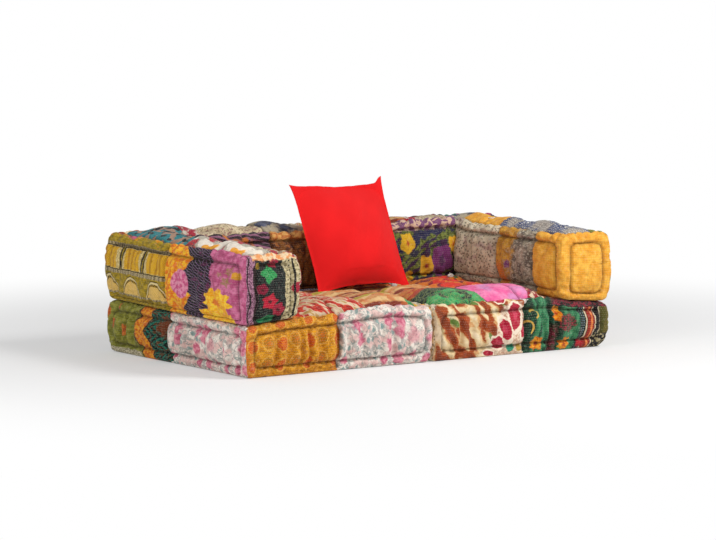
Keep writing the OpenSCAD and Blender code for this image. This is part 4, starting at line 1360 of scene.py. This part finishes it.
# Throw pillow
# A loose square pillow in plain bright red cotton stands on its lower edge and leans on the back.
# Its two panels are sewn edge to edge, so the corners stand out as ears and the edges pull in.
PILLOW_T = 0.18
PILLOW_DRAW = 0.013
PILLOW_BASE_DRAW = 0.034
PILLOW_TAPER = 0.8
PILLOW_TURN = math.radians(-1.4)
PILLOW_CELLS = 64
PILLOW_SHIFT = 0.01
EAR = 0.018
THREADS = 5200.0


def pillow_points(a, b, c):
    """Places of a, b on the pillow, both from -1 to 1, on its side c: -1 front, 1 back"""
    low_belly = b + 0.2 * (1 - b * b)
    half = PILLOW_T / 2 * np.clip((1 - a * a) * (1 - low_belly ** 2), 0, None) ** PILLOW_TAPER
    ear = ease((a - 0.8) / 0.15) * ease((b - 0.7) / 0.3)
    edge_draw = np.where(b < 0, PILLOW_BASE_DRAW, PILLOW_DRAW)
    x = a * (PILLOW_SIDE * 0.507 - PILLOW_DRAW * (1 - b ** 6))
    s = b * (PILLOW_SIDE * 0.518 - edge_draw * (1 - np.abs(a) ** np.where(b < 0, 3, 6))) + EAR * ear
    s = s + 0.0018 + 0.013 * ease(b) * ease((0.1 - a) / 0.7) - 0.35 * half * ease(-b * 2)
    half = half + c * 0.004 * np.sin(9 * a - 6 * b) * (1 - a * a) * (1 - b * b)
    turned = x * math.cos(PILLOW_TURN) + s * math.sin(PILLOW_TURN)
    risen = s * math.cos(PILLOW_TURN) - x * math.sin(PILLOW_TURN)
    return turned, PILLOW_SIDE / 2 + risen, c * half


bm = bmesh.new()
for face in (-1, 1):
    panel = bmesh.ops.create_grid(bm, x_segments=PILLOW_CELLS, y_segments=PILLOW_CELLS, size=1)["verts"]
    bmesh.ops.translate(bm, vec=(0, 0, -0.1 * face), verts=panel)
    if face > 0:
        bmesh.ops.reverse_faces(bm, faces=list({f for v in panel for f in v.link_faces}))
pillow_mesh = bpy.data.meshes.new("red_pillow")
bm.to_mesh(pillow_mesh)
bm.free()
grid = read_rows(pillow_mesh.vertices, "co")
x, s, depth = pillow_points(grid[:, 0], grid[:, 1], -np.sign(grid[:, 2]))
lean_s = math.sin(PILLOW_LEAN)
lean_c = math.cos(PILLOW_LEAN)
pillow_y = pillow_high.y - (s * lean_s + depth * lean_c).max()
write_points(pillow_mesh, np.stack([
    PILLOW_U - PILLOW_SHIFT + x,
    pillow_y + s * lean_s + depth * lean_c,
    PILLOW_Z + s * lean_c - depth * lean_s,
], 1))
corner = read_rows(pillow_mesh.loops, "vertex_index", 1, int)[:, 0]
pillow_uv = pillow_mesh.uv_layers.new(name="flat_cloth")
pillow_uv.data.foreach_set("uv", (grid[corner][:, :2] * PILLOW_SIDE / 2).ravel())
bm = bmesh.new()
bm.from_mesh(pillow_mesh)
bmesh.ops.remove_doubles(bm, verts=bm.verts, dist=0.0001)
bmesh.ops.recalc_face_normals(bm, faces=bm.faces)
bm.to_mesh(pillow_mesh)
bm.free()

red_cotton, s, t = start_cloth("red_cotton")
threads = sine(s * THREADS) * 0.04 + sine(t * THREADS) * 0.04
red = tones(s, t, "#e01315", "#e81618", 0.12, 0.2)
finish_cloth(red, threads + mottle(s, t, 0.08, 2.0) * 0.8)
pillow_mesh.materials.append(red_cotton)
pillow = show("red_pillow", pillow_mesh)
points = read_rows(pillow_mesh.vertices, "co")
from_middle = (points[:, 1] - pillow_y) * lean_c - (points[:, 2] - PILLOW_Z) * lean_s
on_seam = np.abs(from_middle) < 1e-5
swell(pillow, np.where(on_seam, 0.6, 0.0), excess=0.03, pressure=4.0, cap=0.01)
smooth_once(pillow)
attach(pillow, "pillow")
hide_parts("pillow_cover", "pillow_insert")

# Floor and light
# A pale floor, a white background and soft lamps, none of them part of the sofa. Only the camera
# sees the background as white: it gives the sofa less light than that.
FLOOR_HALF = 12
SKY = 0.4
LAMP_AIM = Vector((0, 0, 0.3))
floor_mesh = bpy.data.meshes.new("floor")
bm = bmesh.new()
bmesh.ops.create_grid(bm, x_segments=1, y_segments=1, size=FLOOR_HALF)
bm.to_mesh(floor_mesh)
bm.free()
show("floor", floor_mesh)
floor_mesh.materials.append(start_material("pale_floor"))
matt = cloth_nodes["Principled BSDF"]
feed(matt, {"Base Color": (0.86, 0.86, 0.86, 1), "Roughness": 0.9, "Specular IOR Level": 0.1})
x, y, z = split(dye("TexCoord", {}, "Object"))
camera_ray = dye("LightPath", {}, "Is Camera Ray")
glow = dye("Emission", {})
white_share = camera_ray * (edge(distance(x, y), 2.2, 1.0) * 0.7 + 0.3)
feed(cloth_nodes["Material Output"], {
    "Surface": dye("MixShader", {0: white_share, 1: Dye(matt.outputs[0]), 2: glow}),
})

scene.view_settings.view_transform = "Standard"
world = bpy.data.worlds.new("studio")
scene.world = world
world.use_nodes = True
cloth_nodes = world.node_tree.nodes
rays = [dye("LightPath", {}, f"Is {kind} Ray") for kind in ("Camera", "Glossy", "Transmission")]
seen = maths("MAXIMUM", maths("MAXIMUM", rays[0], rays[1]), rays[2])
feed(cloth_nodes["Background"], {"Color": (1, 1, 1, 1), "Strength": seen * (1 - SKY) + SKY})

for name, place, size, watts in (
    ("key", (1.5, -3.4, 3.4), 1.4, 155),
    ("fill", (-3.6, -1.4, 1.8), 2.4, 48),
):
    lamp = bpy.data.lights.new(name, "AREA")
    lamp.size = size
    lamp.energy = watts
    holder = show(name, lamp)
    holder.location = place
    holder.rotation_euler = (LAMP_AIM - Vector(place)).to_track_quat("-Z", "Y").to_euler()
